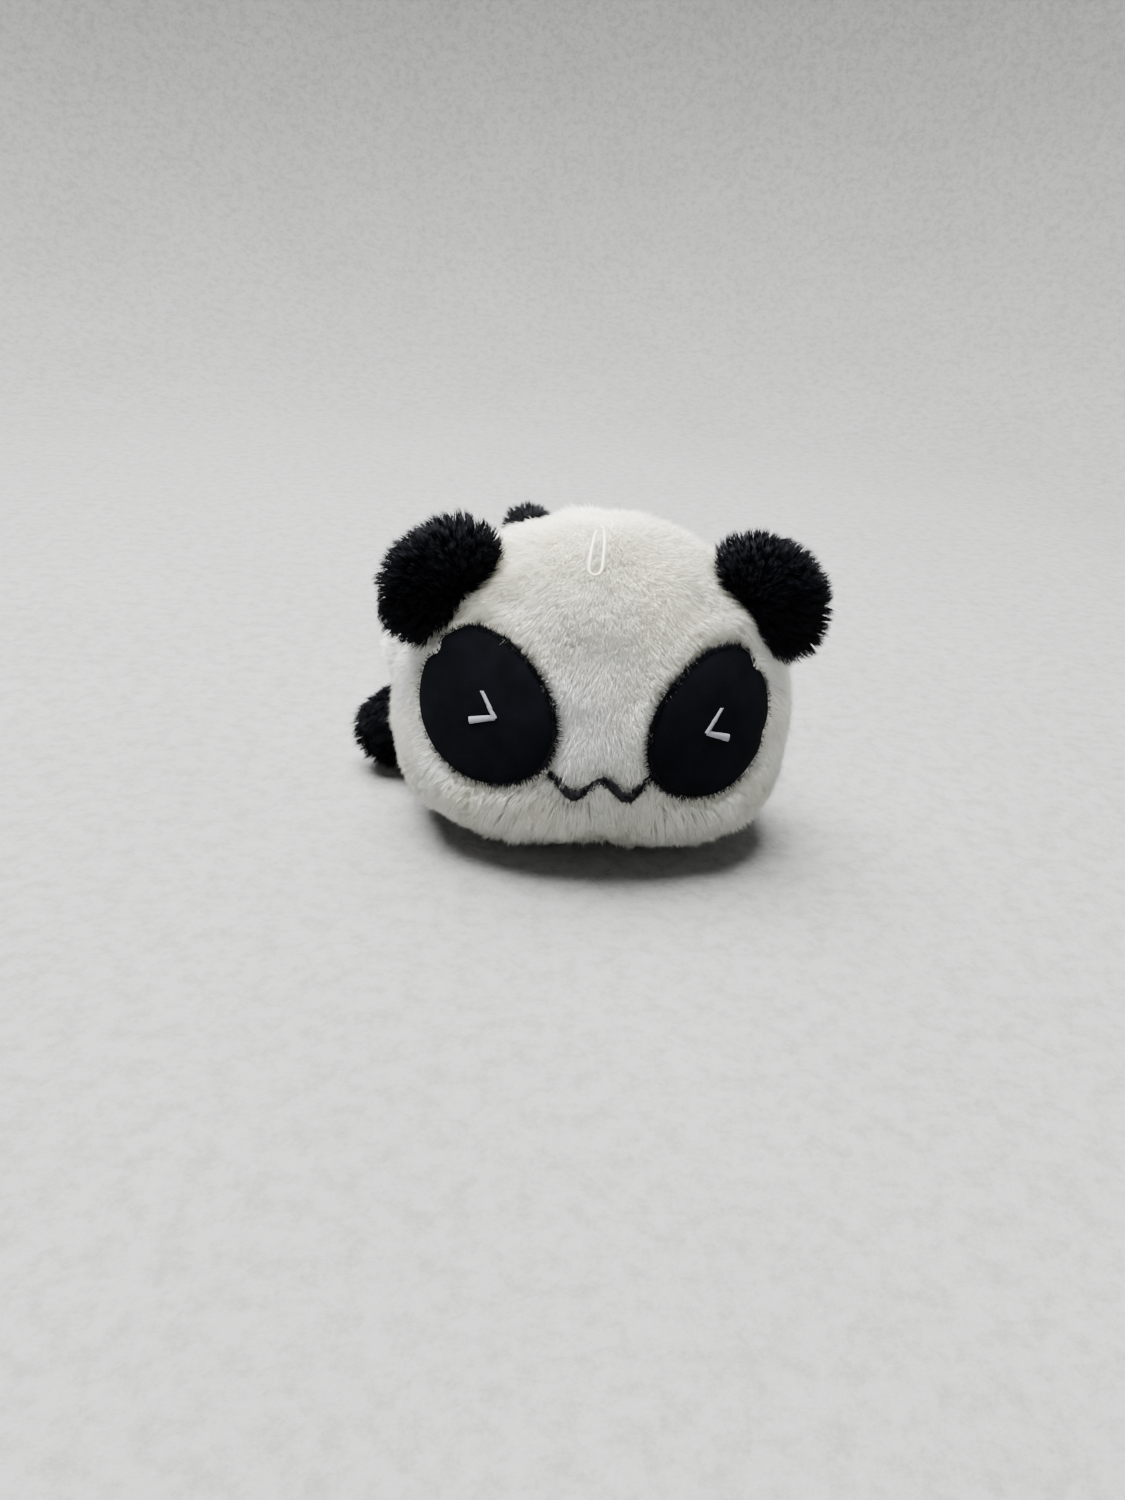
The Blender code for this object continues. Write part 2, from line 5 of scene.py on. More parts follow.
import bmesh
import bpy
import numpy as np
from mathutils import Matrix, Vector
from mathutils.bvhtree import BVHTree
from mathutils.kdtree import KDTree
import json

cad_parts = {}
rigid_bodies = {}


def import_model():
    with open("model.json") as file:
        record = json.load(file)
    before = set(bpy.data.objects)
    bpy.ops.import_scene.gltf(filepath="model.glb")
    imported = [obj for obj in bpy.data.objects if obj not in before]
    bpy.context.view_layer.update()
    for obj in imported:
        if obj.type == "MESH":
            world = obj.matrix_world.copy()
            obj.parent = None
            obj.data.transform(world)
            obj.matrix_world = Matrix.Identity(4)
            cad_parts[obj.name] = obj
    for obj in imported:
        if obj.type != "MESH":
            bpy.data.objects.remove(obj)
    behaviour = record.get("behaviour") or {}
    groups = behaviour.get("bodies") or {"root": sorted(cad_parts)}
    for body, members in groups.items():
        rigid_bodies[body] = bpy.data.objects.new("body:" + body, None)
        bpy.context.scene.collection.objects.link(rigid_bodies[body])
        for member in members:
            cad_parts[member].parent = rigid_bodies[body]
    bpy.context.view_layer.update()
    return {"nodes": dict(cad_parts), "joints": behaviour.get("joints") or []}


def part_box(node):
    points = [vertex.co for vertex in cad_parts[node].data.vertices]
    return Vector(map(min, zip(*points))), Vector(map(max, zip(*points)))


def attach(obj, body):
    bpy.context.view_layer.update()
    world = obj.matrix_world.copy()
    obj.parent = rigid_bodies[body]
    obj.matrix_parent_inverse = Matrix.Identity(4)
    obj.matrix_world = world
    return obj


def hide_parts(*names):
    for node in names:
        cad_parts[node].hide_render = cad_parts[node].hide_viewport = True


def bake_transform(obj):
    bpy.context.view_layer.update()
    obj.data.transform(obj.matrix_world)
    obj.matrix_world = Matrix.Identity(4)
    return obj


bl_info = {
    "name": "Plush panda charm",
    "version": (1, 0, 0),
    "blender": (4, 5, 0),
    "location": "View3D > Sidebar > Plush",
    "description": "Builds the looks of a stuffed panda key charm around its fixed frame",
    "category": "Object",
}

for startup_object in list(bpy.data.objects):
    bpy.data.objects.remove(startup_object, do_unlink=True)
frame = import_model()

MM = 0.001
JOINTS = {joint["name"]: joint for joint in frame["joints"]}
HEAD_Y = -39.1 * MM
CROWN = Vector((0.0, HEAD_Y - 6 * MM, 81 * MM))
NECK = Vector(JOINTS["head_nod"]["pos_m"])
SIDES = ("left", "right")

# Egg outlines of the two eye patches, in (x, z) about each centre.
PATCH_CENTRES = {"left": (-26.9 * MM, 41.2 * MM), "right": (24.8 * MM, 40.3 * MM)}
PATCH_HALF_WIDTHS = {"left": 15.4 * MM, "right": 14.7 * MM}
WINK_CENTRES = {"left": (-26.2 * MM, 41.4 * MM), "right": (24.7 * MM, 40.3 * MM)}
PATCH_HALF_HEIGHT = 17.4 * MM
PATCH_TAPER = 0.13
PATCH_TILT = math.radians(11)
# Small tucks in a patch's edge: where round it (degrees from the top), how deep, how wide.
PATCH_TUCKS = {"left": ((-44, 0.085, 8), (-20, 0.02, 9)), "right": ((36, 0.075, 8), (96, 0.05, 8))}

# The two stitched strokes of a wink, as on the left patch's mirror side.
WINK_TIP = (2.0 * MM, -0.8 * MM)
WINK_UPPER_END = (-1.0 * MM, 4.2 * MM)
WINK_LOWER_END = (-3.4 * MM, -2.8 * MM)

MOUTH_HALF_WIDTH = 12.0 * MM
MOUTH_LEVEL = 27.4 * MM
MOUTH_SWING = 2.2 * MM
MOUTH_POINTS = 181
MOUTH_STITCH = 9

# The hanging cord: its exit beside the crown, its run down the forehead and its lift.
LOOP_EXIT_ANGLE = math.radians(18)
LOOP_EXIT_X = -2.8 * MM
LOOP_DRIFT = -1.6 * MM
LOOP_REACH = 14.6 * MM
LOOP_HALF_WIDTH = 1.5 * MM
LOOP_STEPS = 7
FOREHEAD_LEVEL = 32.0 * MM
FOREHEAD_UP = 49.0 * MM
FOREHEAD_FRONT = 33.5 * MM

# Where the filling and the sewing move the cloth off the frame's solids.
CHIN_TUCK = 2.4 * MM
CHIN_DENT = 1.7 * MM
CHEEK_OUT = {"left": -1.7 * MM, "right": 0.9 * MM}
PATCH_ROLL = 0.8 * MM
PATCH_DIP = 0.7 * MM
HEAD_SEAM = 0.6 * MM
EAR_CREASE = 2.8 * MM
SPINE_SEAM = 0.8 * MM
SHOULDER_OUT = 4.2 * MM
TORSO_TURN = math.radians(8)
EAR_INWARD = {"left": 1.0 * MM, "right": -1.4 * MM}
EAR_DROP = 2.6 * MM
EAR_STRETCH = 0.13
LIMB_SHIFTS = {"arm_left": (-2.0, 0.0, 0.3), "tail": (0.3, 0.0, 0.8)}

# The neck's sleeve: half its length, its reach, how far it is waisted, its rows and sides.
NECK_HALF = 5.0 * MM
NECK_REACH = 16.5
NECK_WAIST = 1.4
NECK_ROWS, NECK_SIDES = 9, 40
NECK_STITCH_POINTS = 176

# The eye that looks at the charm, which stands a little right of and above the view's middle.
CAMERA_AZIMUTH, CAMERA_ELEVATION, CAMERA_ROLL = math.radians(-6), math.radians(22), math.radians(5)
CAMERA_DISTANCE = 0.290
CAMERA_LENS = 27.94
VIEW_OFFSET = (math.radians(1.60), math.radians(3.69))

# The floor's radius, the bend behind it, its wall, and how many sides it has.
FLOOR_FLAT, FLOOR_BEND, FLOOR_WALL, FLOOR_SIDES = 0.50, 0.34, 0.9, 72

# Name, place, size, power and spread in degrees of each lamp.
LAMPS = (
    ("Overhead", (-0.24, 0.14, 1.15), 1.15, 51.0, 104),
    ("Front fill", (-0.62, -0.80, 0.50), 0.6, 1.3, 150),
    ("Back fill", (0.25, 0.75, 0.8), 0.6, 0.8, 150),
)
LAMP_TARGET = Vector((0.0, -0.01, 0.03))


# ---------------------------------------------------------------- sizes and colours


def length(name, text, value, low=0.0, high=0.02):
    return bpy.props.FloatProperty(
        name=name, description=text, default=value, min=low, max=high,
        precision=5, subtype="DISTANCE", unit="LENGTH",
    )


def number(name, text, value, low, high):
    return bpy.props.FloatProperty(name=name, description=text, default=value, min=low, max=high)


def colour(name, text, value):
    return bpy.props.FloatVectorProperty(
        name=name, description=text, default=value, size=3, min=0.0, max=1.0, subtype="COLOR"
    )


class PlushSizes(bpy.types.PropertyGroup):
    """Lengths and thicknesses of the pile and the threads."""

    white_pile: length("White pile", "Length of the white fibres", 3.6 * MM)
    white_sink: length("White backing depth", "How far the cloth lies under the pile", 1.4 * MM)
    white_fibre: length("White fibre", "Thickness of a white fibre", 0.14 * MM)
    white_density: number("White density", "White fibres in a square millimetre", 12.0, 0.5, 40)
    black_pile: length("Black pile", "Length of the black fibres", 4.6 * MM)
    black_fibre: length("Black fibre", "Thickness of a black fibre", 0.2 * MM)
    black_density: number("Black density", "Black fibres in a square millimetre", 12.0, 0.5, 40)
    satin_thread: length("Satin thread", "Thickness of a wink's thread", 0.26 * MM)
    mouth_thread: length("Mouth thread", "Thickness of the mouth's thread", 0.98 * MM)
    loop_cord: length("Loop cord", "Thickness of the hanging cord", 0.8 * MM)


class PlushColours(bpy.types.PropertyGroup):
    """Colours of the cloths, the threads and the floor."""

    white_tip: colour("White tips", "Ends of the white fibres", (0.97, 0.97, 0.945))
    white_root: colour("White roots", "Roots of the white fibres", (0.90, 0.90, 0.86))
    cream: colour("Cream", "Warmer tone of the forehead", (0.95, 0.93, 0.77))
    # Painted shade: this grey is multiplied into the head's pile from the patches down to the chin,
    # standing in for the shade under the face.
    shade: colour("Grey", "Cooler tone of the lower face", (0.66, 0.66, 0.60))
    black_tip: colour("Black tips", "Ends of the black fibres", (0.0040, 0.0046, 0.0078))
    black_root: colour("Black roots", "Roots of the black fibres", (0.0015, 0.0015, 0.0025))
    patch: colour("Patch cloth", "Cloth of the eye patches", (0.0010, 0.0013, 0.0022))
    satin: colour("Satin thread", "Thread of the winks", (0.25, 0.255, 0.30))
    mouth: colour("Mouth thread", "Thread of the mouth", (0.006, 0.006, 0.008))
    cord: colour("Loop cord", "Hanging cord", (0.78, 0.78, 0.62))
    floor: colour("Floor", "Felt of the floor", (0.225, 0.225, 0.222))


class PlushSettings(bpy.types.PropertyGroup):
    """Everything that a user would change."""

    sizes: bpy.props.PointerProperty(type=PlushSizes, name="Sizes", description="Sizes")
    colours: bpy.props.PointerProperty(type=PlushColours, name="Colours", description="Colours")


def sizes():
    return bpy.context.scene.plush_charm.sizes


def colours():
    return bpy.context.scene.plush_charm.colours


# ---------------------------------------------------------------- node helpers


def new_group(name, inputs, outputs):
    """An empty shader group with named sockets, and its input and output nodes."""
    group = bpy.data.node_groups.new(name, "ShaderNodeTree")
    for label, kind, value in inputs:
        socket = group.interface.new_socket(label, in_out="INPUT", socket_type=kind)
        if value is not None:
            socket.default_value = value
    for label, kind in outputs:
        group.interface.new_socket(label, in_out="OUTPUT", socket_type=kind)
    return group, group.nodes.new("NodeGroupInput"), group.nodes.new("NodeGroupOutput")


def maths(tree, kind, a, b=None, clamp=False):
    """A Math node of that kind; a and b are sockets or numbers."""
    node = tree.nodes.new("ShaderNodeMath")
    node.operation = kind
    node.use_clamp = clamp
    for slot, value in enumerate((a, b)):
        if isinstance(value, bpy.types.NodeSocket):
            tree.links.new(value, node.inputs[slot])
        elif value is not None:
            node.inputs[slot].default_value = value
    return node.outputs[0]


def mixed(tree, share, a, b, blend="MIX"):
    """A colour between a and b."""
    node = tree.nodes.new("ShaderNodeMix")
    node.data_type = "RGBA"
    node.blend_type = blend
    for slot, value in ((0, share), (6, a), (7, b)):
        if isinstance(value, bpy.types.NodeSocket):
            tree.links.new(value, node.inputs[slot])
        elif slot == 0:
            node.inputs[slot].default_value = value
        else:
            node.inputs[slot].default_value = (*tuple(value)[:3], 1.0)
    return node.outputs[2]


def noise(tree, vector, scale, detail=3.0, rough=0.55):
    node = tree.nodes.new("ShaderNodeTexNoise")
    node.inputs["Scale"].default_value = scale
    node.inputs["Detail"].default_value = detail
    node.inputs["Roughness"].default_value = rough
    tree.links.new(vector, node.inputs["Vector"])
    return node.outputs["Fac"]


def ranged(tree, value, low, high, to_low=0.0, to_high=1.0):
    node = tree.nodes.new("ShaderNodeMapRange")
    node.interpolation_type = "SMOOTHSTEP"
    tree.links.new(value, node.inputs[0])
    for slot, number_ in zip((1, 2, 3, 4), (low, high, to_low, to_high)):
        node.inputs[slot].default_value = number_
    return node.outputs[0]


def place_group(tree, group, **values):
    node = tree.nodes.new("ShaderNodeGroup")
    node.node_tree = group
    for label, value in values.items():
        socket = node.inputs[label.replace("_", " ")]
        if isinstance(value, bpy.types.NodeSocket):
            tree.links.new(value, socket)
        elif hasattr(value, "__len__"):
            socket.default_value = (*tuple(value)[:3], 1.0)
        else:
            socket.default_value = value
    return node


def new_material(name, roughness, **sockets):
    """A material with its Principled node; plain values go on the shader's own sockets."""
    made = bpy.data.materials.new(name)
    made.use_nodes = True
    shader = made.node_tree.nodes["Principled BSDF"]
    shader.inputs["Roughness"].default_value = roughness
    for label, value in sockets.items():
        shader.inputs[label.replace("_", " ")].default_value = value
    return made, made.node_tree, shader


def object_place(tree):
    return tree.nodes.new("ShaderNodeTexCoord").outputs["Object"]


def fibre_tone_group():
    """Colour of a pile fibre: root to tip, a shade of its own, and soft drifts over the cloth."""
    if found := bpy.data.node_groups.get("Fibre tone"):
        return found
    made, given, out = new_group(
        "Fibre tone",
        (
            ("Root", "NodeSocketColor", None),
            ("Tip", "NodeSocketColor", None),
            ("Drift", "NodeSocketColor", None),
            ("Drift Amount", "NodeSocketFloat", 0.4),
            ("Own Shade", "NodeSocketFloat", 0.12),
            ("Drift Scale", "NodeSocketFloat", 60.0),
        ),
        (("Colour", "NodeSocketColor"), ("Height", "NodeSocketFloat")),
    )
    along = made.nodes.new("ShaderNodeAttribute")
    along.attribute_name = "along"
    tint = made.nodes.new("ShaderNodeAttribute")
    tint.attribute_name = "tint"
    place = object_place(made)
    body = mixed(made, along.outputs["Fac"], given.outputs["Root"], given.outputs["Tip"])
    drifting = made.nodes.new("ShaderNodeTexNoise")
    drifting.inputs["Detail"].default_value = 2.0
    made.links.new(place, drifting.inputs["Vector"])
    made.links.new(given.outputs["Drift Scale"], drifting.inputs["Scale"])
    soft = ranged(made, drifting.outputs["Fac"], 0.38, 0.66)
    share = maths(made, "MULTIPLY", soft, given.outputs["Drift Amount"])
    drifted = mixed(made, share, body, given.outputs["Drift"])
    dim = maths(made, "MULTIPLY", tint.outputs["Fac"], given.outputs["Own Shade"])
    keep = maths(made, "SUBTRACT", 1.0, dim)
    shaded = mixed(made, 1.0, drifted, (1, 1, 1), "MULTIPLY")
    combine = made.nodes.new("ShaderNodeCombineColor")
    for slot in range(3):
        made.links.new(keep, combine.inputs[slot])
    made.links.new(combine.outputs[0], shaded.node.inputs[7])
    made.links.new(shaded, out.inputs["Colour"])
    made.links.new(drifting.outputs["Fac"], out.inputs["Height"])
    return made


def nap_group():
    """Fine short nap of a cloth: a fibrous height and a faint colour mask."""
    if found := bpy.data.node_groups.get("Cloth nap"):
        return found
    made, given, out = new_group(
        "Cloth nap",
        (("Scale", "NodeSocketFloat", 900.0), ("Stretch", "NodeSocketFloat", 0.35)),
        (("Mask", "NodeSocketFloat"), ("Height", "NodeSocketFloat")),
    )
    place = object_place(made)
    scaling = made.nodes.new("ShaderNodeVectorMath")
    scaling.operation = "SCALE"
    made.links.new(place, scaling.inputs[0])
    made.links.new(given.outputs["Scale"], scaling.inputs["Scale"])
    mapping = made.nodes.new("ShaderNodeMapping")
    made.links.new(scaling.outputs[0], mapping.inputs["Vector"])
    stretch = made.nodes.new("ShaderNodeCombineXYZ")
    stretch.inputs[0].default_value = 1.0
    stretch.inputs[1].default_value = 1.0
    made.links.new(given.outputs["Stretch"], stretch.inputs[2])
    made.links.new(stretch.outputs[0], mapping.inputs["Scale"])
    fine = noise(made, mapping.outputs[0], 1.0, 4.0, 0.65)
    broad = noise(made, place, 120.0, 3.0)
    made.links.new(broad, out.inputs["Mask"])
    height = maths(made, "ADD", fine, maths(made, "MULTIPLY", broad, 0.5))
    made.links.new(height, out.inputs["Height"])
    return made


def bumped(tree, shader, height, strength, distance):
    bump = tree.nodes.new("ShaderNodeBump")
    bump.inputs["Strength"].default_value = strength
    bump.inputs["Distance"].default_value = distance
    tree.links.new(height, bump.inputs["Height"])
    tree.links.new(bump.outputs[0], shader.inputs["Normal"])


def painted(tree, shader, tone):
    tree.links.new(tone, shader.inputs["Base Color"])


def white_pile_material(region):
    """White fibres; the head's are creamier by the crown and carry painted shade that greys them
    down to the chin.
    """
    name = f"White pile {region}"
    if found := bpy.data.materials.get(name):
        return found
    c = colours()
    made, tree, shader = new_material(
        name, 0.5, Sheen_Weight=0.25, Sheen_Roughness=0.4, Specular_IOR_Level=0.4
    )
    fibre = place_group(
        tree, fibre_tone_group(), Root=c.white_root, Tip=c.white_tip, Drift=c.cream,
        Drift_Amount=0.4, Own_Shade=0.07, Drift_Scale=70.0,
    )
    tone = fibre.outputs["Colour"]
    if region == "head":
        place = tree.nodes.new("ShaderNodeSeparateXYZ")
        tree.links.new(object_place(tree), place.inputs[0])
        high = ranged(tree, place.outputs["Z"], 44 * MM, 74 * MM, 0.0, 0.6)
        # Painted shade: below about 44 mm the pile is multiplied towards the grey, most at the
        # chin, where the face turns away from the overhead lamp.
        low = ranged(tree, place.outputs["Z"], 4 * MM, 44 * MM, 0.9, 0.0)
        tone = mixed(tree, high, tone, c.cream, "MULTIPLY")
        tone = mixed(tree, low, tone, c.shade, "MULTIPLY")
    painted(tree, shader, tone)
    return made


def black_pile_material():
    name = "Black pile"
    if found := bpy.data.materials.get(name):
        return found
    c = colours()
    made, tree, shader = new_material(name, 0.55, Specular_IOR_Level=0.08)
    fibre = place_group(
        tree, fibre_tone_group(), Root=c.black_root, Tip=c.black_tip, Drift=(0.007, 0.008, 0.012),
        Drift_Amount=0.3, Own_Shade=0.5, Drift_Scale=160.0,
    )
    painted(tree, shader, fibre.outputs["Colour"])
    return made


def cloth_material(name, tone, other, roughness, nap, bump, contrast=None, **sockets):
    """Cloth, thread or cord: two close tones under a fine nap, which is its relief too."""
    if found := bpy.data.materials.get(name):
        return found
    made, tree, shader = new_material(name, roughness, **sockets)
    fine = place_group(tree, nap_group(), Scale=nap[0], Stretch=nap[1])
    mask = fine.outputs["Mask"]
    if contrast:
        mask = ranged(tree, mask, *contrast)
    painted(tree, shader, mixed(tree, mask, tone, other))
    bumped(tree, shader, fine.outputs["Height"], *bump)
    return made


def backing_material(name, tone, other):
    """Knitted backing cloth that shows only between the fibres."""
    return cloth_material(
        name, tone, other, 0.9, (1500.0, 0.5), (0.5, 0.3 * MM),
        Sheen_Weight=0.2, Specular_IOR_Level=0.2,
    )


def white_backing():
    return backing_material("White backing", (0.88, 0.88, 0.84), (0.78, 0.78, 0.74))


def black_backing():
    return backing_material("Black backing", (0.005, 0.005, 0.008), (0.003, 0.003, 0.005))


def patch_material():
    tone = tuple(colours().patch)
    return cloth_material(
        "Patch cloth", tone, tuple(1.9 * part for part in tone), 0.9, (2600.0, 0.4),
        (0.45, 0.12 * MM), contrast=(0.35, 0.7), Specular_IOR_Level=0.05,
    )


def thread_material(name, tone, roughness, sheen):
    """Twisted embroidery thread with fine plies along it."""
    return cloth_material(
        name, tuple(tone), tuple(0.82 * part for part in tone), roughness, (2400.0, 1.0),
        (0.25, 0.05 * MM), Sheen_Weight=sheen, Specular_IOR_Level=0.25,
    )


def cord_material():
    tone = tuple(colours().cord)
    return cloth_material(
        "Loop cord", tone, tuple(0.86 * part for part in tone), 0.32, (900.0, 0.3),
        (0.15, 0.08 * MM), Specular_IOR_Level=0.5, Coat_Weight=0.25,
        Subsurface_Weight=0.35, Subsurface_Scale=0.6 * MM,
    )


def floor_material():
    tone = tuple(colours().floor)
    made, tree, shader = new_material("Floor felt", 0.95, Specular_IOR_Level=0.15)
    place = object_place(tree)
    cloud = ranged(tree, noise(tree, place, 14.0, 4.0, 0.6), 0.3, 0.72)
    felt = mixed(tree, cloud, tone, tuple(min(1.0, part * 1.06) for part in tone))
    speckle = ranged(tree, noise(tree, place, 190.0, 4.0, 0.8), 0.40, 0.68)
    painted(tree, shader, mixed(tree, speckle, felt, (0.76, 0.76, 0.75), "MULTIPLY"))
    fibres = maths(tree, "ADD", noise(tree, place, 420.0, 5.0, 0.7), noise(tree, place, 90.0, 4.0))
    bumped(tree, shader, fibres, 0.5, 1.0 * MM)
    return made


# ---------------------------------------------------------------- mesh helpers


def linked(name, data, material):
    made = bpy.data.objects.new(name, data)
    bpy.context.scene.collection.objects.link(made)
    data.materials.append(material)
    return made


def array_mesh(name, points, faces):
    """A mesh from arrays; every face has the same number of corners."""
    sides = faces.shape[1]
    data = bpy.data.meshes.new(name)
    data.vertices.add(len(points))
    data.vertices.foreach_set("co", np.ascontiguousarray(points, np.float32).ravel())
    data.loops.add(faces.size)
    data.loops.foreach_set("vertex_index", np.ascontiguousarray(faces, np.int32).ravel())
    data.polygons.add(len(faces))
    data.polygons.foreach_set("loop_start", np.arange(0, faces.size, sides, dtype=np.int32))
    smoothed(data)
    data.update(calc_edges=True)
    return data


def smoothed(data):
    data.polygons.foreach_set("use_smooth", np.full(len(data.polygons), True))
    return data


def listed_mesh(name, points, faces):
    """A smooth mesh from lists of points and faces."""
    data = bpy.data.meshes.new(name)
    data.from_pydata(points, [], faces)
    smoothed(data).update()
    return data


def ring_bands(first, rows, sides):
    """Quads between rows of points in rings, from the point numbered first."""
    faces = []
    for row in range(rows - 1):
        a, b = first + row * sides, first + (row + 1) * sides
        for k in range(sides):
            m = (k + 1) % sides
            faces.append((a + k, b + k, b + m, a + m))
    return faces


def vectors_of(items, field):
    found = np.empty(len(items) * 3, np.float32)
    items.foreach_get(field, found)
    return found.reshape(-1, 3).astype(float)


def points_of(data):
    return vectors_of(data.vertices, "co")


def normals_of(data):
    return vectors_of(data.vertex_normals, "vector")


def put_points(data, points):
    data.vertices.foreach_set("co", np.ascontiguousarray(points, np.float32).ravel())
    data.update()


def tree_of(nodes):
    """A ray-casting tree of the named frame pieces together."""
    points, faces = [], []
    for node in nodes:
        data = frame["nodes"][node].data
        start = len(points)
        points += [v.co.copy() for v in data.vertices]
        faces += [tuple(start + i for i in face.vertices) for face in data.polygons]
    return BVHTree.FromPolygons(points, faces)


FACE_TREE = tree_of(["head_face_panel"])


def on_face(x, z, lift=0.0):
    """The point on the front of the face at (x, z), lifted along its normal, and that normal."""
    place, normal, _, _ = FACE_TREE.ray_cast(Vector((x, -0.2, z)), Vector((0, 1, 0)))
    if normal.y > 0:
        normal.negate()
    return place + normal * lift, normal


class Drift:
    """Smooth repeatable noise in space: three numbers at each point."""

    def __init__(self, seed, size):
        self.table = np.random.default_rng(seed).random((24, 24, 24, 3)) * 2 - 1
        self.size = size

    def __call__(self, points):
        place = points / self.size
        corner = np.floor(place).astype(int)
        part = place - corner
        part = part * part * (3 - 2 * part)
        found = np.zeros_like(points)
        for i in (0, 1):
            for j in (0, 1):
                for k in (0, 1):
                    step = np.array((i, j, k))
                    weight = np.prod(np.where(step, part, 1 - part), axis=1)
                    a, b, c = ((corner + step) % 24).T
                    found += weight[:, None] * self.table[a, b, c]
        return found


def unit(vectors):
    size = np.linalg.norm(vectors, axis=-1, keepdims=True)
    return vectors / np.maximum(size, 1e-9)


def skin_of(name, nodes, voxel, rounds, backing):
    """One closed skin round the named frame pieces, with their joins closed and eased."""
    joined = bmesh.new()
    for node in nodes:
        joined.from_mesh(frame["nodes"][node].data)
    data = bpy.data.meshes.new(name)
    joined.to_mesh(data)
    joined.free()
    helper = bpy.data.objects.new(name + "_block", data)
    bpy.context.scene.collection.objects.link(helper)
    remesh = helper.modifiers.new("Remesh", "REMESH")
    remesh.mode = "VOXEL"
    remesh.voxel_size = voxel
    graph = bpy.context.evaluated_depsgraph_get()
    whole = bpy.data.meshes.new_from_object(helper.evaluated_get(graph))
    bpy.data.objects.remove(helper, do_unlink=True)
    outer = bmesh.new()
    outer.from_mesh(whole)
    keep_outer_shell(outer)
    for _ in range(rounds):
        bmesh.ops.smooth_vert(
            outer, verts=outer.verts, factor=0.5, use_axis_x=True, use_axis_y=True, use_axis_z=True
        )
    bmesh.ops.recalc_face_normals(outer, faces=outer.faces)
    outer.to_mesh(whole)
    outer.free()
    whole.name = name
    smoothed(whole).update()
    return linked(name, whole, backing)


def hung_skin(skin, body, nodes):
    """Hangs a padded skin on its body in place of its frame pieces."""
    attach(skin, body)
    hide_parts(*nodes)


def keep_outer_shell(mesh):
    """Removes every loose shell but the one that reaches furthest."""
    unseen = set(mesh.verts)
    shells = []
    while unseen:
        front = [unseen.pop()]
        shell = set(front)
        while front:
            vert = front.pop()
            for edge in vert.link_edges:
                other = edge.other_vert(vert)
                if other in unseen:
                    unseen.remove(other)
                    shell.add(other)
                    front.append(other)
        shells.append(shell)
    largest = max(shells, key=lambda shell: max(v.co.x for v in shell) - min(v.co.x for v in shell))
    loose = [v for shell in shells if shell is not largest for v in shell]
    bmesh.ops.delete(mesh, geom=loose, context="VERTS")


def stuffed(obj, held, start, cap):
    """Fills a skin: cloth under pressure from inside, held at its seams, moved by cap at most."""
    scene = bpy.context.scene
    before = points_of(obj.data)
    shrunk = before - normals_of(obj.data) * start
    put_points(obj.data, shrunk)
    pins = obj.vertex_groups.new(name="seam")
    for i in np.flatnonzero(held > 0.02):
        pins.add([int(i)], float(held[i]), "REPLACE")
    cloth = obj.modifiers.new("Filling", "CLOTH")
    cloth.settings.quality = 3
    cloth.settings.mass = 0.02
    cloth.settings.tension_stiffness = 12
    cloth.settings.compression_stiffness = 12
    cloth.settings.bending_stiffness = 0.3
    cloth.settings.use_pressure = True
    cloth.settings.uniform_pressure_force = 4.0
    cloth.settings.effector_weights.gravity = 0.0
    cloth.settings.vertex_group_mass = "seam"
    cloth.point_cache.frame_start = 1
    cloth.point_cache.frame_end = 20
    for count in range(1, 21):
        scene.frame_set(count)
    graph = bpy.context.evaluated_depsgraph_get()
    swollen = points_of(obj.evaluated_get(graph).data)
    obj.modifiers.remove(cloth)
    obj.vertex_groups.remove(pins)
    scene.frame_set(1)
    move = swollen - shrunk
    far = np.linalg.norm(move, axis=1, keepdims=True)
    move *= np.minimum(1.0, (start + cap) / np.maximum(far, 1e-9))
    put_points(obj.data, shrunk + np.nan_to_num(move))


def above_floor(points, room=0.7 * MM):
    """Points pressed flat towards the floor instead of through it."""
    z = points[:, 2]
    points[:, 2] = np.where(z < room, room * np.exp(np.clip((z - room) / room, -30, 0)), z)
    return points


# ---------------------------------------------------------------- pile


def sample_roots(data, per_mm2, random, mask):
    """Random roots over a skin: their places, normals and how much each is kept."""
    data.calc_loop_triangles()
    corners = np.empty(len(data.loop_triangles) * 3, np.int32)
    data.loop_triangles.foreach_get("vertices", corners)
    corners = corners.reshape(-1, 3)
    points, normals = points_of(data), normals_of(data)
    a, b, c = (points[corners[:, i]] for i in range(3))
    areas = np.linalg.norm(np.cross(b - a, c - a), axis=1) / 2
    count = int(areas.sum() * 1e6 * per_mm2)
    chosen = random.choice(len(areas), count, p=areas / areas.sum())
    u, v = random.random(count), random.random(count)
    flip = u + v > 1
    u[flip], v[flip] = 1 - u[flip], 1 - v[flip]
    weights = np.stack((1 - u - v, u, v), axis=1)[:, :, None]
    roots = (points[corners[chosen]] * weights).sum(axis=1)
    facing = unit((normals[corners[chosen]] * weights).sum(axis=1))
    share = mask(roots)
    kept = share > 0.04
    return roots[kept], facing[kept], share[kept]


def gathered(roots, middles, tips, each, pull, random):
    """Draws the fibres' ends together in tufts of about that many, and names each one's leader."""
    lead = random.permutation(len(roots))[: max(8, int(len(roots) / each))]
    finder = KDTree(len(lead))
    for place, index in enumerate(lead):
        finder.insert(roots[index], place)
    finder.balance()
    leader = lead[np.array([finder.find(root)[1] for root in roots])]
    strength = np.minimum(1.0, pull * (0.55 + 0.45 * random.random(len(roots))))[:, None]
    middles = middles + (middles[leader] - middles) * strength * 0.45
    tips = tips + (tips[leader] - tips) * strength
    return middles, tips, leader


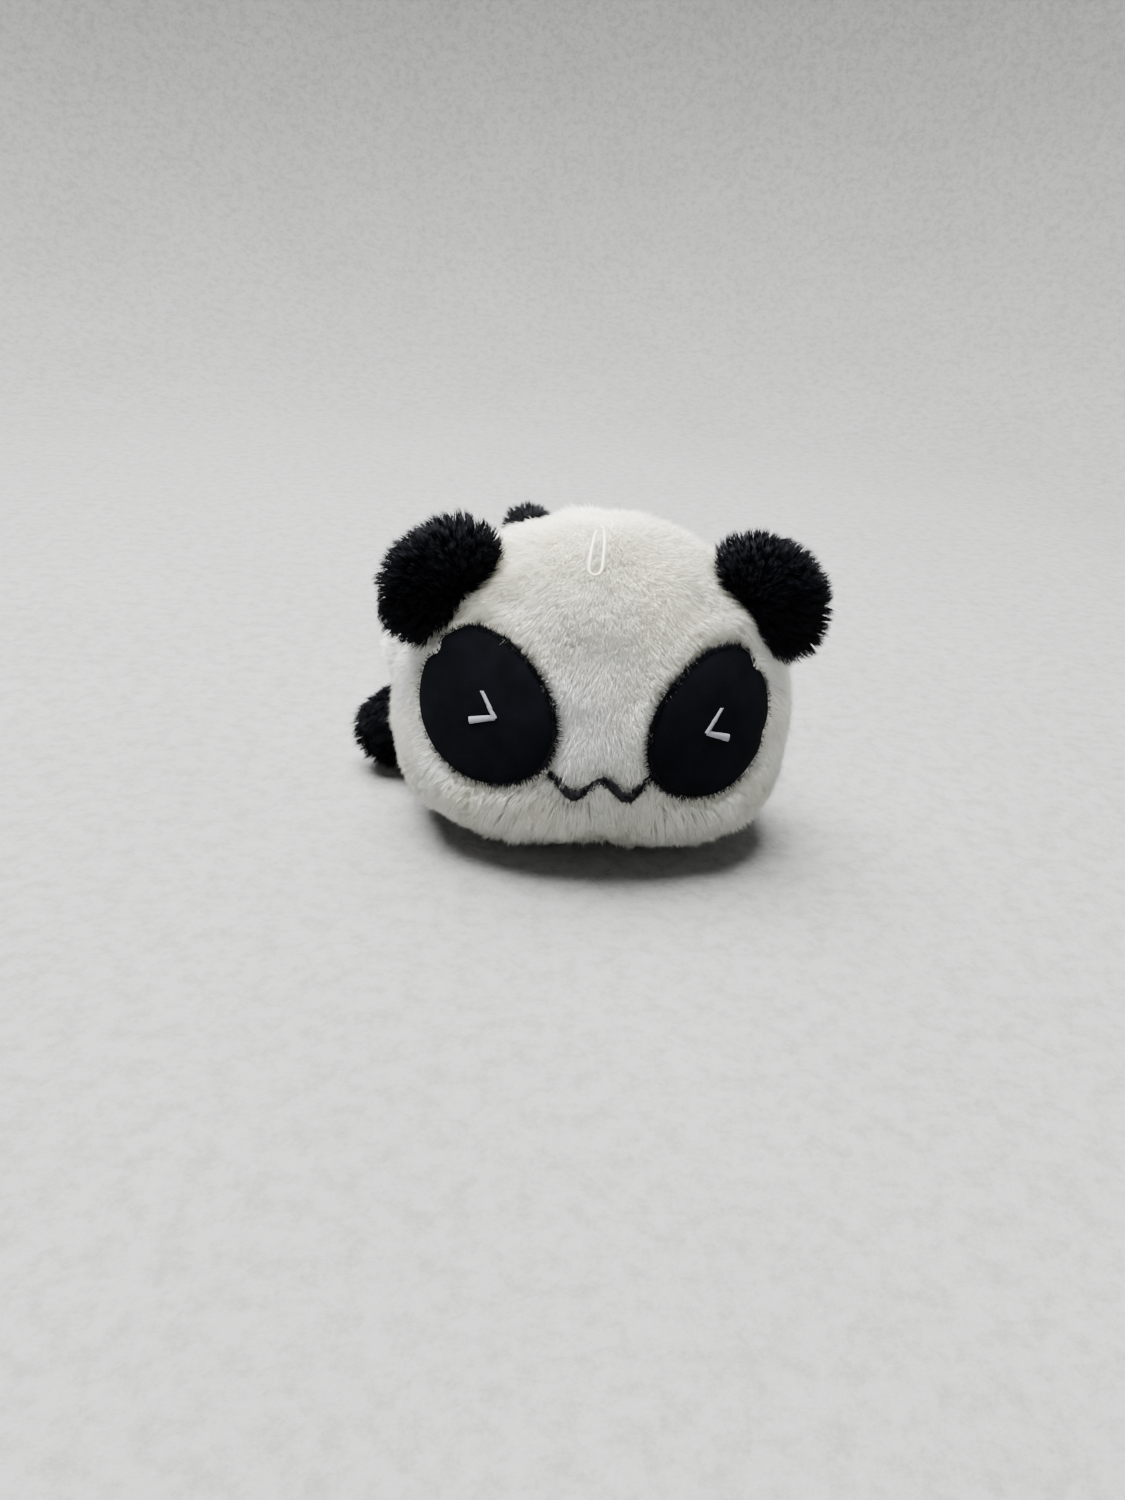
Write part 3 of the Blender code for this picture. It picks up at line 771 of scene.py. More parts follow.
def fibre_mesh(name, roots, middles, tips, thickness, tints, low, high, bends):
    """Three-sided tapering fibres along bent lines, as one mesh."""
    count = len(roots)
    steps = np.linspace(0, 1, bends + 2)
    line = [
        roots * (1 - t) ** 2 + middles * (2 * t * (1 - t)) + tips * t * t for t in steps
    ]
    run = unit(tips - roots)
    side = unit(np.cross(run, np.roll(run, 1, axis=1) + np.array((0.31, 0.17, 0.53))))
    other = np.cross(run, side)
    turn = tints * math.tau
    rings = []
    for t, centre in zip(steps[:-1], line[:-1]):
        reach = (thickness * 0.5 * (1 - t) ** 0.55)[:, None]
        for k in range(3):
            angle = (turn + k * math.tau / 3)[:, None]
            rings.append(centre + reach * (np.cos(angle) * side + np.sin(angle) * other))
    rings.append(line[-1])
    each = len(rings)
    points = np.stack(rings, axis=1).reshape(-1, 3)
    pattern = []
    for ring in range(bends):
        for k in range(3):
            m = (k + 1) % 3
            low_k, low_m = 3 * ring + k, 3 * ring + m
            pattern += [(low_k, low_m, low_m + 3), (low_k, low_m + 3, low_k + 3)]
    last = 3 * bends
    pattern += [(last + k, last + (k + 1) % 3, each - 1) for k in range(3)]
    faces = (np.array(pattern)[None] + (np.arange(count) * each)[:, None, None]).reshape(-1, 3)
    data = array_mesh(name, above_floor(points), faces)
    along = np.tile(np.append(np.repeat(steps[:-1], 3), 1.0), count)
    for label, values in (("along", along), ("tint", np.repeat(tints, each))):
        layer = data.attributes.new(label, "FLOAT", "POINT")
        layer.data.foreach_set("value", values.astype(np.float32))
    add_fibre_map(data, roots, low, high, each, along, faces)
    return data


def add_fibre_map(data, roots, low, high, each, along, faces):
    """A texture map in which every fibre has its own small patch, laid out by its root."""
    middle = (low + high) / 2
    u = np.arctan2(roots[:, 0] - middle[0], roots[:, 1] - middle[1]) / math.tau + 0.5
    v = (roots[:, 2] - low[2]) / max(high[2] - low[2], 1e-6)
    across = np.tile(np.append(np.tile((0.0, 1.0, 2.0), (each - 1) // 3), 1.0), len(roots))
    u = 0.01 + 0.97 * np.repeat(np.clip(u, 0, 1), each) + 0.0006 * across
    v = 0.01 + 0.97 * np.repeat(np.clip(v, 0, 1), each) + 0.0016 * along
    layer = data.uv_layers.new(name="OFBake")
    values = np.stack((u, v), axis=1)[faces.ravel()].astype(np.float32)
    layer.data.foreach_set("uv", values.ravel())


def grow_pile(name, skin, body, material, *, per_mm2, fibre_length, thickness, comb,
              lean=0.7, rise=0.5, tuft=26, pull=0.45, stray=0.16, uneven=0.2, bends=1, curl=0.4,
              mask=None, seed=1, most=21000, hang=None):
    """Grows a pile on a skin and hangs it on a body, in pieces of at most that many fibres."""
    random = np.random.default_rng(seed)
    whole = mask or (lambda places: np.ones(len(places)))
    roots, facing, share = sample_roots(skin, per_mm2, random, whole)
    count = len(roots)
    broad = Drift(seed + 11, 7 * MM)(roots)
    swirl = Drift(seed + 23, 13 * MM)(roots) + 0.5 * Drift(seed + 31, 4 * MM)(roots)
    flow = comb(roots, facing) + curl * swirl
    flow -= facing * (flow * facing).sum(axis=1, keepdims=True)
    flow = unit(flow)
    tall = fibre_length * share * (1 + uneven * broad[:, 0]) * (0.78 + 0.3 * random.random(count))
    angle = lean * (1 + 0.25 * broad[:, 1]) + 0.16 * random.standard_normal(count)
    rising, lying = np.cos(angle)[:, None], np.sin(angle)[:, None]
    tall = tall[:, None]
    middles = roots + facing * tall * rise
    tips = roots + tall * (facing * rising + flow * lying)
    tips += random.standard_normal((count, 3)) * tall * stray
    pull = pull(roots) if callable(pull) else np.full(count, pull)
    middles, tips, _ = gathered(roots, middles, tips, tuft * 5, pull * 0.5, random)
    middles, tips, leader = gathered(roots, middles, tips, tuft, pull, random)
    middles += random.standard_normal((count, 3)) * tall * stray * 0.4
    tints = random.random(count)
    tints = 0.45 * tints + 0.55 * tints[leader]
    weight = thickness * (0.75 + 0.5 * random.random(count))
    low, high = roots.min(axis=0), roots.max(axis=0)
    order = np.argsort(np.arctan2(roots[:, 0] - low[0] / 2 - high[0] / 2, roots[:, 2] - low[2]))
    parts = max(1, math.ceil(count / most))
    made = []
    for number_, chosen in enumerate(np.array_split(order, parts)):
        label = name if parts == 1 else f"{name}_{number_ + 1:02d}"
        data = fibre_mesh(
            label, roots[chosen], middles[chosen], tips[chosen], weight[chosen], tints[chosen],
            low, high, bends,
        )
        piece = linked(label, data, material)
        made.append(hang(piece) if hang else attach(piece, body))
    return made


# ---------------------------------------------------------------- shapes on the face


def patch_radius(side, angle):
    """Share of the outline's reach at an angle from the top, with its tucks."""
    share = 1.0
    for middle, depth, width in PATCH_TUCKS[side]:
        off = (math.degrees(angle) - middle + 180) % 360 - 180
        share -= depth * math.exp(-((off / width) ** 2))
    return share


def patch_point(side, angle, share):
    """The (x, z) place on a patch at an angle from its top and a share of its reach."""
    lean = PATCH_TILT * (-1 if side == "left" else 1)
    reach = share * patch_radius(side, angle)
    x = PATCH_HALF_WIDTHS[side] * math.sin(angle) * (1 - PATCH_TAPER * math.cos(angle)) * reach
    z = PATCH_HALF_HEIGHT * math.cos(angle) * reach
    centre = PATCH_CENTRES[side]
    return (
        centre[0] + x * math.cos(lean) + z * math.sin(lean),
        centre[1] + z * math.cos(lean) - x * math.sin(lean),
    )


def patch_share(points, side):
    """How far each point lies from a patch's centre, 1 on its outline, seen from the front."""
    lean = PATCH_TILT * (-1 if side == "left" else 1)
    dx = points[:, 0] - PATCH_CENTRES[side][0]
    dz = points[:, 2] - PATCH_CENTRES[side][1]
    x = dx * math.cos(lean) - dz * math.sin(lean)
    z = dz * math.cos(lean) + dx * math.sin(lean)
    top = np.clip(z / PATCH_HALF_HEIGHT, -1, 1)
    found = np.hypot(x / (PATCH_HALF_WIDTHS[side] * (1 - PATCH_TAPER * top)), z / PATCH_HALF_HEIGHT)
    return np.where(points[:, 1] < HEAD_Y - 4 * MM, found, 9.0)


def mouth_line(count):
    """Points (x, z) along the mouth: a soft w."""
    made = []
    for i in range(count):
        share = 2 * i / (count - 1) - 1
        x = share * MOUTH_HALF_WIDTH
        made.append((x, MOUTH_LEVEL + MOUTH_SWING * math.cos(math.tau * share)))
    return made


def mouth_weight(share):
    """How full the mouth's stitches are along it: 1 in the two bows, less at the rest."""
    full = max(math.exp(-(((share - 0.19) / 0.15) ** 4)), math.exp(-(((share - 0.68) / 0.17) ** 4)))
    return 0.12 + 0.88 * full


def near_mouth(points):
    """Distance from each point to the mouth's line, seen from the front."""
    share = np.clip(points[:, 0] / MOUTH_HALF_WIDTH, -1, 1)
    level = MOUTH_LEVEL + MOUTH_SWING * np.cos(math.tau * share)
    slope = MOUTH_SWING * math.tau / MOUTH_HALF_WIDTH * np.sin(math.tau * share)
    off = np.abs(points[:, 2] - level) / np.sqrt(1 + slope**2)
    beyond = np.maximum(0, np.abs(points[:, 0]) - MOUTH_HALF_WIDTH)
    return np.where(points[:, 1] < HEAD_Y, np.hypot(off, beyond), 1.0)


def loop_route():
    """The cord's line: down one strand, round its end and back up the other."""

    def forehead(arc, x):
        share = min(1.0, arc / (0.5 * LOOP_REACH))
        lift = (0.8 + 2.0 * math.sin(share * math.pi / 2)) * MM
        angle = LOOP_EXIT_ANGLE + arc / (FOREHEAD_UP * 0.86)
        dy, dz = -math.sin(angle), math.cos(angle)
        normal = Vector((0.0, dy / FOREHEAD_FRONT, dz / FOREHEAD_UP)).normalized()
        x += LOOP_EXIT_X + LOOP_DRIFT * arc / LOOP_REACH
        place = Vector((x, HEAD_Y + FOREHEAD_FRONT * dy, FOREHEAD_LEVEL + FOREHEAD_UP * dz))
        return place + normal * lift

    straight = LOOP_REACH - LOOP_HALF_WIDTH
    strand = []
    for i in range(LOOP_STEPS):
        turn = math.pi / 2 * i / (LOOP_STEPS - 1)
        spread = 0.55 + 0.45 * math.sin(turn)
        strand.append((straight * i / (LOOP_STEPS - 1), -LOOP_HALF_WIDTH * spread))
    bend = []
    for i in range(1, 4):
        angle = math.pi * i / 4
        arc = straight + LOOP_HALF_WIDTH * math.sin(angle)
        bend.append((arc, -LOOP_HALF_WIDTH * math.cos(angle)))
    line = strand + bend + [(arc, -x) for arc, x in reversed(strand)]
    return [forehead(arc, x) for arc, x in line]


def tube(name, path, thickness, sides=8, closed=False):
    """A round thread along a path."""
    path = [Vector(point) for point in path]
    count = len(path)
    reach = thickness / 2
    rows, before = [], None
    for i, point in enumerate(path):
        ahead = path[(i + 1) % count] if closed or i < count - 1 else point
        behind = path[i - 1] if closed or i > 0 else point
        run = (ahead - behind).normalized()
        side = before - run * before.dot(run) if before else run.orthogonal()
        side.normalize()
        before = side
        other = run.cross(side)
        for k in range(sides):
            angle = math.tau * k / sides
            rows.append(point + side * reach * math.cos(angle) + other * reach * math.sin(angle))
    faces = []
    for i in range(count if closed else count - 1):
        a, b = i * sides, ((i + 1) % count) * sides
        for k in range(sides):
            m = (k + 1) % sides
            faces.append((a + k, a + m, b + m, b + k))
    if not closed:
        faces.append(tuple(range(sides))[::-1])
        faces.append(tuple(range((count - 1) * sides, count * sides)))
    return listed_mesh(name, rows, faces)


def joined_mesh(name, parts):
    """Several meshes as one."""
    whole = bmesh.new()
    for part in parts:
        whole.from_mesh(part)
        bpy.data.meshes.remove(part)
    data = bpy.data.meshes.new(name)
    bmesh.ops.recalc_face_normals(whole, faces=whole.faces)
    whole.to_mesh(data)
    whole.free()
    return smoothed(data)


# ---------------------------------------------------------------- operators


class BuildStage(bpy.types.Operator):
    """Makes the felt floor, the soft lights and the camera."""

    bl_idname = "plush.build_stage"
    bl_label = "Floor, lights and camera"

    def execute(self, context):
        self.camera(context)
        self.floor()
        self.lights(context)
        return {"FINISHED"}

    def camera(self, context):
        back = Vector(
            (
                math.sin(CAMERA_AZIMUTH) * math.cos(CAMERA_ELEVATION),
                -math.cos(CAMERA_AZIMUTH) * math.cos(CAMERA_ELEVATION),
                math.sin(CAMERA_ELEVATION),
            )
        )
        eye = bpy.data.cameras.new("Camera")
        eye.sensor_width = 36.0
        eye.lens = CAMERA_LENS
        eye.clip_start = 0.01
        made = bpy.data.objects.new("Camera", eye)
        context.scene.collection.objects.link(made)
        look = (-back).to_track_quat("-Z", "Y").to_matrix()
        rolled = Matrix.Rotation(CAMERA_ROLL, 3, "Z")
        aim = Vector((math.tan(VIEW_OFFSET[0]), math.tan(VIEW_OFFSET[1]), -1))
        off = aim.normalized().rotation_difference(Vector((0, 0, -1))).to_matrix()
        place = Vector((0.0, HEAD_Y, 0.040)) + back * CAMERA_DISTANCE
        made.matrix_world = Matrix.Translation(place) @ (look @ rolled @ off).to_4x4()
        context.scene.camera = made

    def floor(self):
        """A felt sheet that curves up all round, far behind the charm."""
        profile = [(FLOOR_FLAT * i / 6, 0.0) for i in range(1, 7)]
        for i in range(1, 13):
            angle = math.pi / 2 * i / 12
            rise = FLOOR_BEND * (1 - math.cos(angle))
            profile.append((FLOOR_FLAT + FLOOR_BEND * math.sin(angle), rise))
        profile.append((FLOOR_FLAT + FLOOR_BEND, FLOOR_BEND + FLOOR_WALL))
        points = [(0.0, 0.0, 0.0)]
        for radius, height in profile:
            for k in range(FLOOR_SIDES):
                turn = math.tau * k / FLOOR_SIDES
                points.append((radius * math.cos(turn), radius * math.sin(turn), height))
        faces = [(0, 1 + k, 1 + (k + 1) % FLOOR_SIDES) for k in range(FLOOR_SIDES)]
        faces += ring_bands(1, len(profile), FLOOR_SIDES)
        data = listed_mesh("floor", points, faces)
        linked("floor", data, floor_material())

    def lights(self, context):
        world = bpy.data.worlds.new("Studio")
        world.use_nodes = True
        ground = world.node_tree.nodes["Background"]
        ground.inputs["Color"].default_value = (0.95, 0.975, 1.0, 1.0)
        ground.inputs["Strength"].default_value = 0.32
        context.scene.world = world
        for name, place, size, power, spread in LAMPS:
            lamp = bpy.data.lights.new(name, "AREA")
            lamp.shape = "DISK"
            lamp.size = size
            lamp.spread = math.radians(spread)
            lamp.energy = power
            made = bpy.data.objects.new(name, lamp)
            made.location = place
            aim = LAMP_TARGET - Vector(place)
            made.rotation_euler = aim.to_track_quat("-Z", "Y").to_euler()
            context.scene.collection.objects.link(made)


class BuildLoop(bpy.types.Operator):
    """Makes the hanging cord loop and the knot that holds it inside the crown."""

    bl_idname = "plush.build_loop"
    bl_label = "Hanging loop"

    def execute(self, context):
        route = loop_route()
        data = bpy.data.curves.new("cord_loop", "CURVE")
        data.dimensions = "3D"
        data.bevel_depth = sizes().loop_cord / 2
        data.bevel_resolution = 3
        data.use_fill_caps = True
        line = data.splines.new("POLY")
        line.points.add(len(route) - 1)
        for slot, point in zip(line.points, route):
            slot.co = (*point, 1.0)
        line.use_smooth = True
        made = linked("cord_loop", data, cord_material())
        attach(made, "loop")
        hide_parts("hanging_loop")
        self.knot()
        return {"FINISHED"}

    def knot(self):
        """A small overhand knot, out of sight under the crown."""
        low, high = (Vector(corner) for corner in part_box("loop_knot"))
        middle, reach = (low + high) / 2, (high - low).length / 2 / 1.75
        path = []
        for i in range(60):
            t = math.tau * i / 60
            wide = (2 + math.cos(3 * t)) / 3 * 0.72
            lobe = (wide * math.cos(2 * t), wide * math.sin(2 * t), 0.24 * math.sin(3 * t))
            path.append(middle + reach * Vector(lobe))
        data = tube("cord_knot", path, 0.5 * MM, sides=8, closed=True)
        made = linked("cord_knot", data, cord_material())
        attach(made, "head")
        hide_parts("loop_knot")


def eased(values):
    """A smooth 0 to 1 step."""
    share = np.clip(values, 0, 1)
    return share * share * (3 - 2 * share)


def under_patches(points):
    """1 under the eye patches, falling to 0 round them."""
    under = np.zeros(len(points))
    for side in SIDES:
        under = np.maximum(under, eased((1.10 - patch_share(points, side)) / 0.16))
    return under


def rolled_edges(points):
    """How far the cloth stands up in a soft roll round each patch, and dips just beside it."""
    rise = np.zeros(len(points))
    for side in SIDES:
        share = patch_share(points, side)
        rise += PATCH_ROLL * np.exp(-(((share - 1.26) / 0.10) ** 2))
        rise -= PATCH_DIP * np.exp(-(((share - 1.06) / 0.05) ** 2))
    return rise


def sculpted_head(points, normals):
    """The cloth's places: under the pile, fuller at the cheeks and tucked under the chin."""
    under = under_patches(points)
    x, y, z = points.T
    front = eased((HEAD_Y - 2 * MM - y) / (14 * MM))
    low = eased((19 * MM - z) / (14 * MM))
    dent = np.exp(-(((x - 1.5 * MM) / (8 * MM)) ** 2)) * eased((20 * MM - z) / (10 * MM)) * front
    sink = sizes().white_sink * (1 - 0.85 * under) + CHIN_TUCK * low * front + CHIN_DENT * dent
    sink -= rolled_edges(points)
    moved = points - normals * sink[:, None]
    belt = np.exp(-(((z - 26 * MM) / (20 * MM)) ** 2)) * (np.abs(x) / (49 * MM)) ** 3
    moved[:, 0] += np.where(x < 0, CHEEK_OUT["left"], CHEEK_OUT["right"]) * belt * (1 - under)
    return moved


def ear_line(side):
    """An ear's base line: its middle and its direction."""
    joint = JOINTS[f"ear_{side}_fold"]
    return Vector(joint["pos_m"]), Vector(joint["axis"]).normalized()


def ear_groove(points):
    """1 along the crease where an ear is sewn on, falling to a low ridge beside it."""
    depth = np.zeros(len(points))
    for side in SIDES:
        middle, run = ear_line(side)
        off = points - np.array(middle)
        along = off @ np.array(run)
        near = np.linalg.norm(off - along[:, None] * np.array(run), axis=1)
        ends = np.clip((17 * MM - np.abs(along)) / (4 * MM), 0, 1)
        dip = np.exp(-((near / (3.2 * MM)) ** 2))
        ridge = np.exp(-(((near - 7.5 * MM) / (2.2 * MM)) ** 2))
        depth += ends * (dip - 0.35 * ridge)
    return depth


def head_mask(points):
    """Pile length over the head: none under the patches, short by the mouth and the loop."""
    share = np.ones(len(points))
    for side in SIDES:
        outline = patch_share(points, side)
        shorter = 0.8 + 0.2 * np.clip((outline - 1) / 0.2, 0, 1)
        share *= np.clip((outline - 0.965) / 0.05, 0, 1) * shorter
    mouth = near_mouth(points)
    share *= 0.42 + 0.58 * np.clip((mouth - 0.6 * MM) / (1.6 * MM), 0, 1)
    front = eased((HEAD_Y - 6 * MM - points[:, 1]) / (10 * MM))
    share *= 1 + 0.4 * front * np.exp(-(((points[:, 2] - 19 * MM) / (8 * MM)) ** 2))
    near = np.full(len(points), 1.0)
    for place in loop_route():
        near = np.minimum(near, np.linalg.norm(points - np.array(place), axis=1))
    share *= 0.55 + 0.45 * np.clip((near - 2.6 * MM) / (2.2 * MM), 0, 1)
    return share


def head_tufting(points):
    """How tightly the pile clings together: fluffy on the forehead, in locks round the muzzle."""
    return 0.17 + 0.33 * eased((34 * MM - points[:, 2]) / (16 * MM)) * (points[:, 1] < HEAD_Y)


def head_comb(points, normals):
    """The pile flows down from the crown, out over the cheeks and forward off the chin."""
    away = unit(points - np.array(CROWN))
    away[:, 2] -= 0.25
    away[:, 0] += 0.25 * np.clip(points[:, 0] / (30 * MM), -1, 1)
    return away


def combed_from(root, strength):
    """A comb that runs away from a point."""
    return lambda places, normals: strength * unit(places - root)


def combed_along(flow):
    """A comb that runs one way everywhere."""
    return lambda places, normals: np.tile(np.array(flow), (len(places), 1))


class BuildHead(bpy.types.Operator):
    """Makes the head: a stuffed skin with its seams, covered in short white pile."""

    bl_idname = "plush.build_head"
    bl_label = "Head"

    def execute(self, context):
        nodes = ["head_face_panel", "head_back_panel_left", "head_back_panel_right", "head_filling"]
        skin = skin_of("head_skin", nodes, 1.7 * MM, 6, white_backing())
        data = skin.data
        points = points_of(data)
        ring = np.exp(-(((points[:, 1] - HEAD_Y) / (1.6 * MM)) ** 2))
        rear = np.exp(-((points[:, 0] / (1.6 * MM)) ** 2)) * (points[:, 1] > HEAD_Y)
        seams = np.maximum(ring, rear)
        stuffed(skin, seams, 0.4 * MM, 0.6 * MM)
        points, normals = points_of(data), normals_of(data)
        inward = HEAD_SEAM * seams * (1 - under_patches(points)) + EAR_CREASE * ear_groove(points)
        put_points(data, sculpted_head(points, normals))
        shaped = points_of(data) - normals * inward[:, None]
        put_points(data, above_floor(shaped, 1.6 * MM))
        hung_skin(skin, "head", nodes)
        s = sizes()
        grow_pile(
            "head_pile", data, "head", white_pile_material("head"),
            per_mm2=s.white_density, fibre_length=s.white_pile, thickness=s.white_fibre,
            comb=head_comb, lean=0.86, tuft=44, pull=head_tufting, stray=0.17, uneven=0.32,
            curl=0.42, mask=head_mask, seed=5,
        )
        return {"FINISHED"}


class BuildTorso(bpy.types.Operator):
    """Makes the torso: a stuffed skin with its seams, covered in short white pile."""

    bl_idname = "plush.build_torso"
    bl_label = "Torso"

    def execute(self, context):
        nodes = ["torso_back_panel_left", "torso_back_panel_right", "belly_panel", "torso_filling"]
        skin = skin_of("torso_skin", nodes, 1.9 * MM, 6, white_backing())
        data = skin.data
        points = points_of(data)
        run = (math.cos(TORSO_TURN), math.sin(TORSO_TURN))
        across = (points[:, 0] - NECK.x) * run[0] + (points[:, 1] - NECK.y) * run[1]
        spine = np.exp(-((across / (1.8 * MM)) ** 2)) * (points[:, 2] > 25 * MM)
        stuffed(skin, spine, 0.8 * MM, 0.6 * MM)
        points, normals = points_of(data), normals_of(data)
        inward = sizes().white_sink + SPINE_SEAM * spine
        moved = points - normals * inward[:, None]
        x, y, z = moved.T.copy()
        shoulder = eased((-36 * MM - x) / (12 * MM)) * eased((34 * MM - y) / (20 * MM))
        moved[:, 0] -= SHOULDER_OUT * shoulder * eased((z - 4 * MM) / (12 * MM))
        put_points(data, above_floor(moved, 1.6 * MM))
        hung_skin(skin, "torso", nodes)
        s = sizes()
        grow_pile(
            "torso_pile", data, "torso", white_pile_material("torso"),
            per_mm2=s.white_density * 0.62, fibre_length=s.white_pile * 1.05,
            thickness=s.white_fibre * 1.2, comb=combed_along((0.0, 1.0, -0.35)), lean=0.85,
            tuft=26, pull=0.42, seed=41,
        )
        return {"FINISHED"}


class BuildNeck(bpy.types.Operator):
    """Makes the neck: a short cloth sleeve with its pile, and its row of stitches."""

    bl_idname = "plush.build_neck"
    bl_label = "Neck"

    def execute(self, context):
        points = []
        for i in range(NECK_ROWS):
            share = 2 * i / (NECK_ROWS - 1) - 1
            reach = (NECK_REACH - NECK_WAIST * (1 - share * share)) * MM
            y = NECK.y + NECK_HALF * share
            for k in range(NECK_SIDES):
                turn = math.tau * k / NECK_SIDES
                z = NECK.z - 1 * MM + reach * math.sin(turn)
                points.append((reach * math.cos(turn), y, z))
        faces = ring_bands(0, NECK_ROWS, NECK_SIDES)
        faces.append(tuple(range(NECK_SIDES)))
        faces.append(tuple(range((NECK_ROWS - 1) * NECK_SIDES, NECK_ROWS * NECK_SIDES))[::-1])
        data = listed_mesh("neck_sleeve", points, faces)
        sleeve = linked("neck_sleeve", data, white_backing())

        def bent(piece):
            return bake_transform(piece)

        s = sizes()
        grow_pile(
            "neck_pile", data, None, white_pile_material("torso"),
            per_mm2=s.white_density * 0.6, fibre_length=s.white_pile * 1.1,
            thickness=s.white_fibre * 1.2, comb=combed_along((0.0, 0.6, -0.5)), lean=0.5,
            tuft=24, pull=0.4, seed=57, hang=bent,
        )
        bent(sleeve)
        self.stitches()
        return {"FINISHED"}

    def stitches(self):
        """Overcast stitches that run round the neck's seam on the torso."""
        places = points_of(frame["nodes"]["neck_stitching"].data)
        middle = places.mean(axis=0)
        angles = np.arctan2(places[:, 2] - middle[2], places[:, 0] - middle[0])
        path = []
        for i in range(NECK_STITCH_POINTS):
            turn = math.tau * i / NECK_STITCH_POINTS - math.pi
            off = np.abs((angles - turn + math.pi) % math.tau - math.pi)
            near = places[np.argsort(off)[:10]].mean(axis=0)
            out = Vector((math.cos(turn), 0.0, math.sin(turn)))
            wave = math.sin(math.tau * i / 4)
            path.append(Vector(near) + out * 0.5 * MM * wave + Vector((0, 0.12 * MM * wave, 0)))
        data = tube("neck_stitches", path, 0.35 * MM, sides=6, closed=True)
        thread = thread_material("White sewing thread", (0.85, 0.85, 0.82), 0.6, 0.2)
        made = linked("neck_stitches", data, thread)
        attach(made, "torso")
        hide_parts("neck_stitching")


class BuildEars(bpy.types.Operator):
    """Makes both ears: padded fans of black cloth with a long spiky pile."""

    bl_idname = "plush.build_ears"
    bl_label = "Ears"

    def execute(self, context):
        s = sizes()
        for seed, side in ((61, "left"), (67, "right")):
            body = f"ear_{side}"
            nodes = [f"ear_front_panel_{side}", f"ear_back_panel_{side}"]
            skin = skin_of(f"{body}_skin", nodes, 0.8 * MM, 5, black_backing())
            data = skin.data
            root, run = (np.array(part) for part in ear_line(side))
            off = points_of(data) - root
            near = np.linalg.norm(off - (off @ run)[:, None] * run, axis=1)
            stuffed(skin, np.exp(-((near / (2.5 * MM)) ** 2)), 0.2 * MM, 0.8 * MM)
            points = points_of(data) - normals_of(data) * 0.5 * MM
            along = (points - root) @ run
            points += EAR_STRETCH * along[:, None] * run
            points += np.array((EAR_INWARD[side], 0.0, -EAR_DROP))
            put_points(data, points)
            hung_skin(skin, body, nodes)
            grow_pile(
                f"ear_{side}_pile", data, body, black_pile_material(),
                per_mm2=s.black_density, fibre_length=s.black_pile, thickness=s.black_fibre,
                comb=combed_from(root, 1.6), lean=0.68, rise=0.55, tuft=16, pull=0.55,
                stray=0.12, uneven=0.28, bends=2, seed=seed, most=13000,
            )
        return {"FINISHED"}


class BuildLimbs(bpy.types.Operator):
    """Makes the arms, the legs and the tail: stuffed black socks with a long pile."""

    bl_idname = "plush.build_limbs"
    bl_label = "Arms, legs and tail"

    def execute(self, context):
        s = sizes()
        for seed, name, joint in (
            (71, "arm_left", "arm_left_swing"),
            (73, "arm_right", "arm_right_swing"),
            (79, "leg_left", "leg_left_lift"),
            (83, "leg_right", "leg_right_lift"),
            (89, "tail", "tail_wag"),
        ):
            nodes = [f"{name}_cover", f"{name}_filling"]
            skin = skin_of(f"{name}_skin", nodes, 0.9 * MM, 5, black_backing())
            data = skin.data
            root = np.array(JOINTS[joint]["pos_m"])
            near = np.linalg.norm(points_of(data) - root, axis=1)
            stuffed(skin, np.exp(-((near / (6.5 * MM)) ** 4)), 0.5 * MM, 0.8 * MM)
            points = points_of(data) - normals_of(data) * 0.6 * MM
            points += np.array(LIMB_SHIFTS.get(name, (0, 0, 0))) * MM
            put_points(data, above_floor(points, 1.5 * MM))
            hung_skin(skin, name, nodes)
            seen = name in ("arm_left", "tail")
            grow_pile(
                f"{name}_pile", data, name, black_pile_material(),
                per_mm2=s.black_density * 0.8, fibre_length=s.black_pile * (1.05 if seen else 0.92),
                thickness=s.black_fibre, comb=combed_from(root, 1.4),
                lean=0.62 if seen else 0.8, rise=0.5, tuft=14, pull=0.6, stray=0.12,
                uneven=0.25, bends=2 if seen else 1, seed=seed, most=13000,
            )
        return {"FINISHED"}


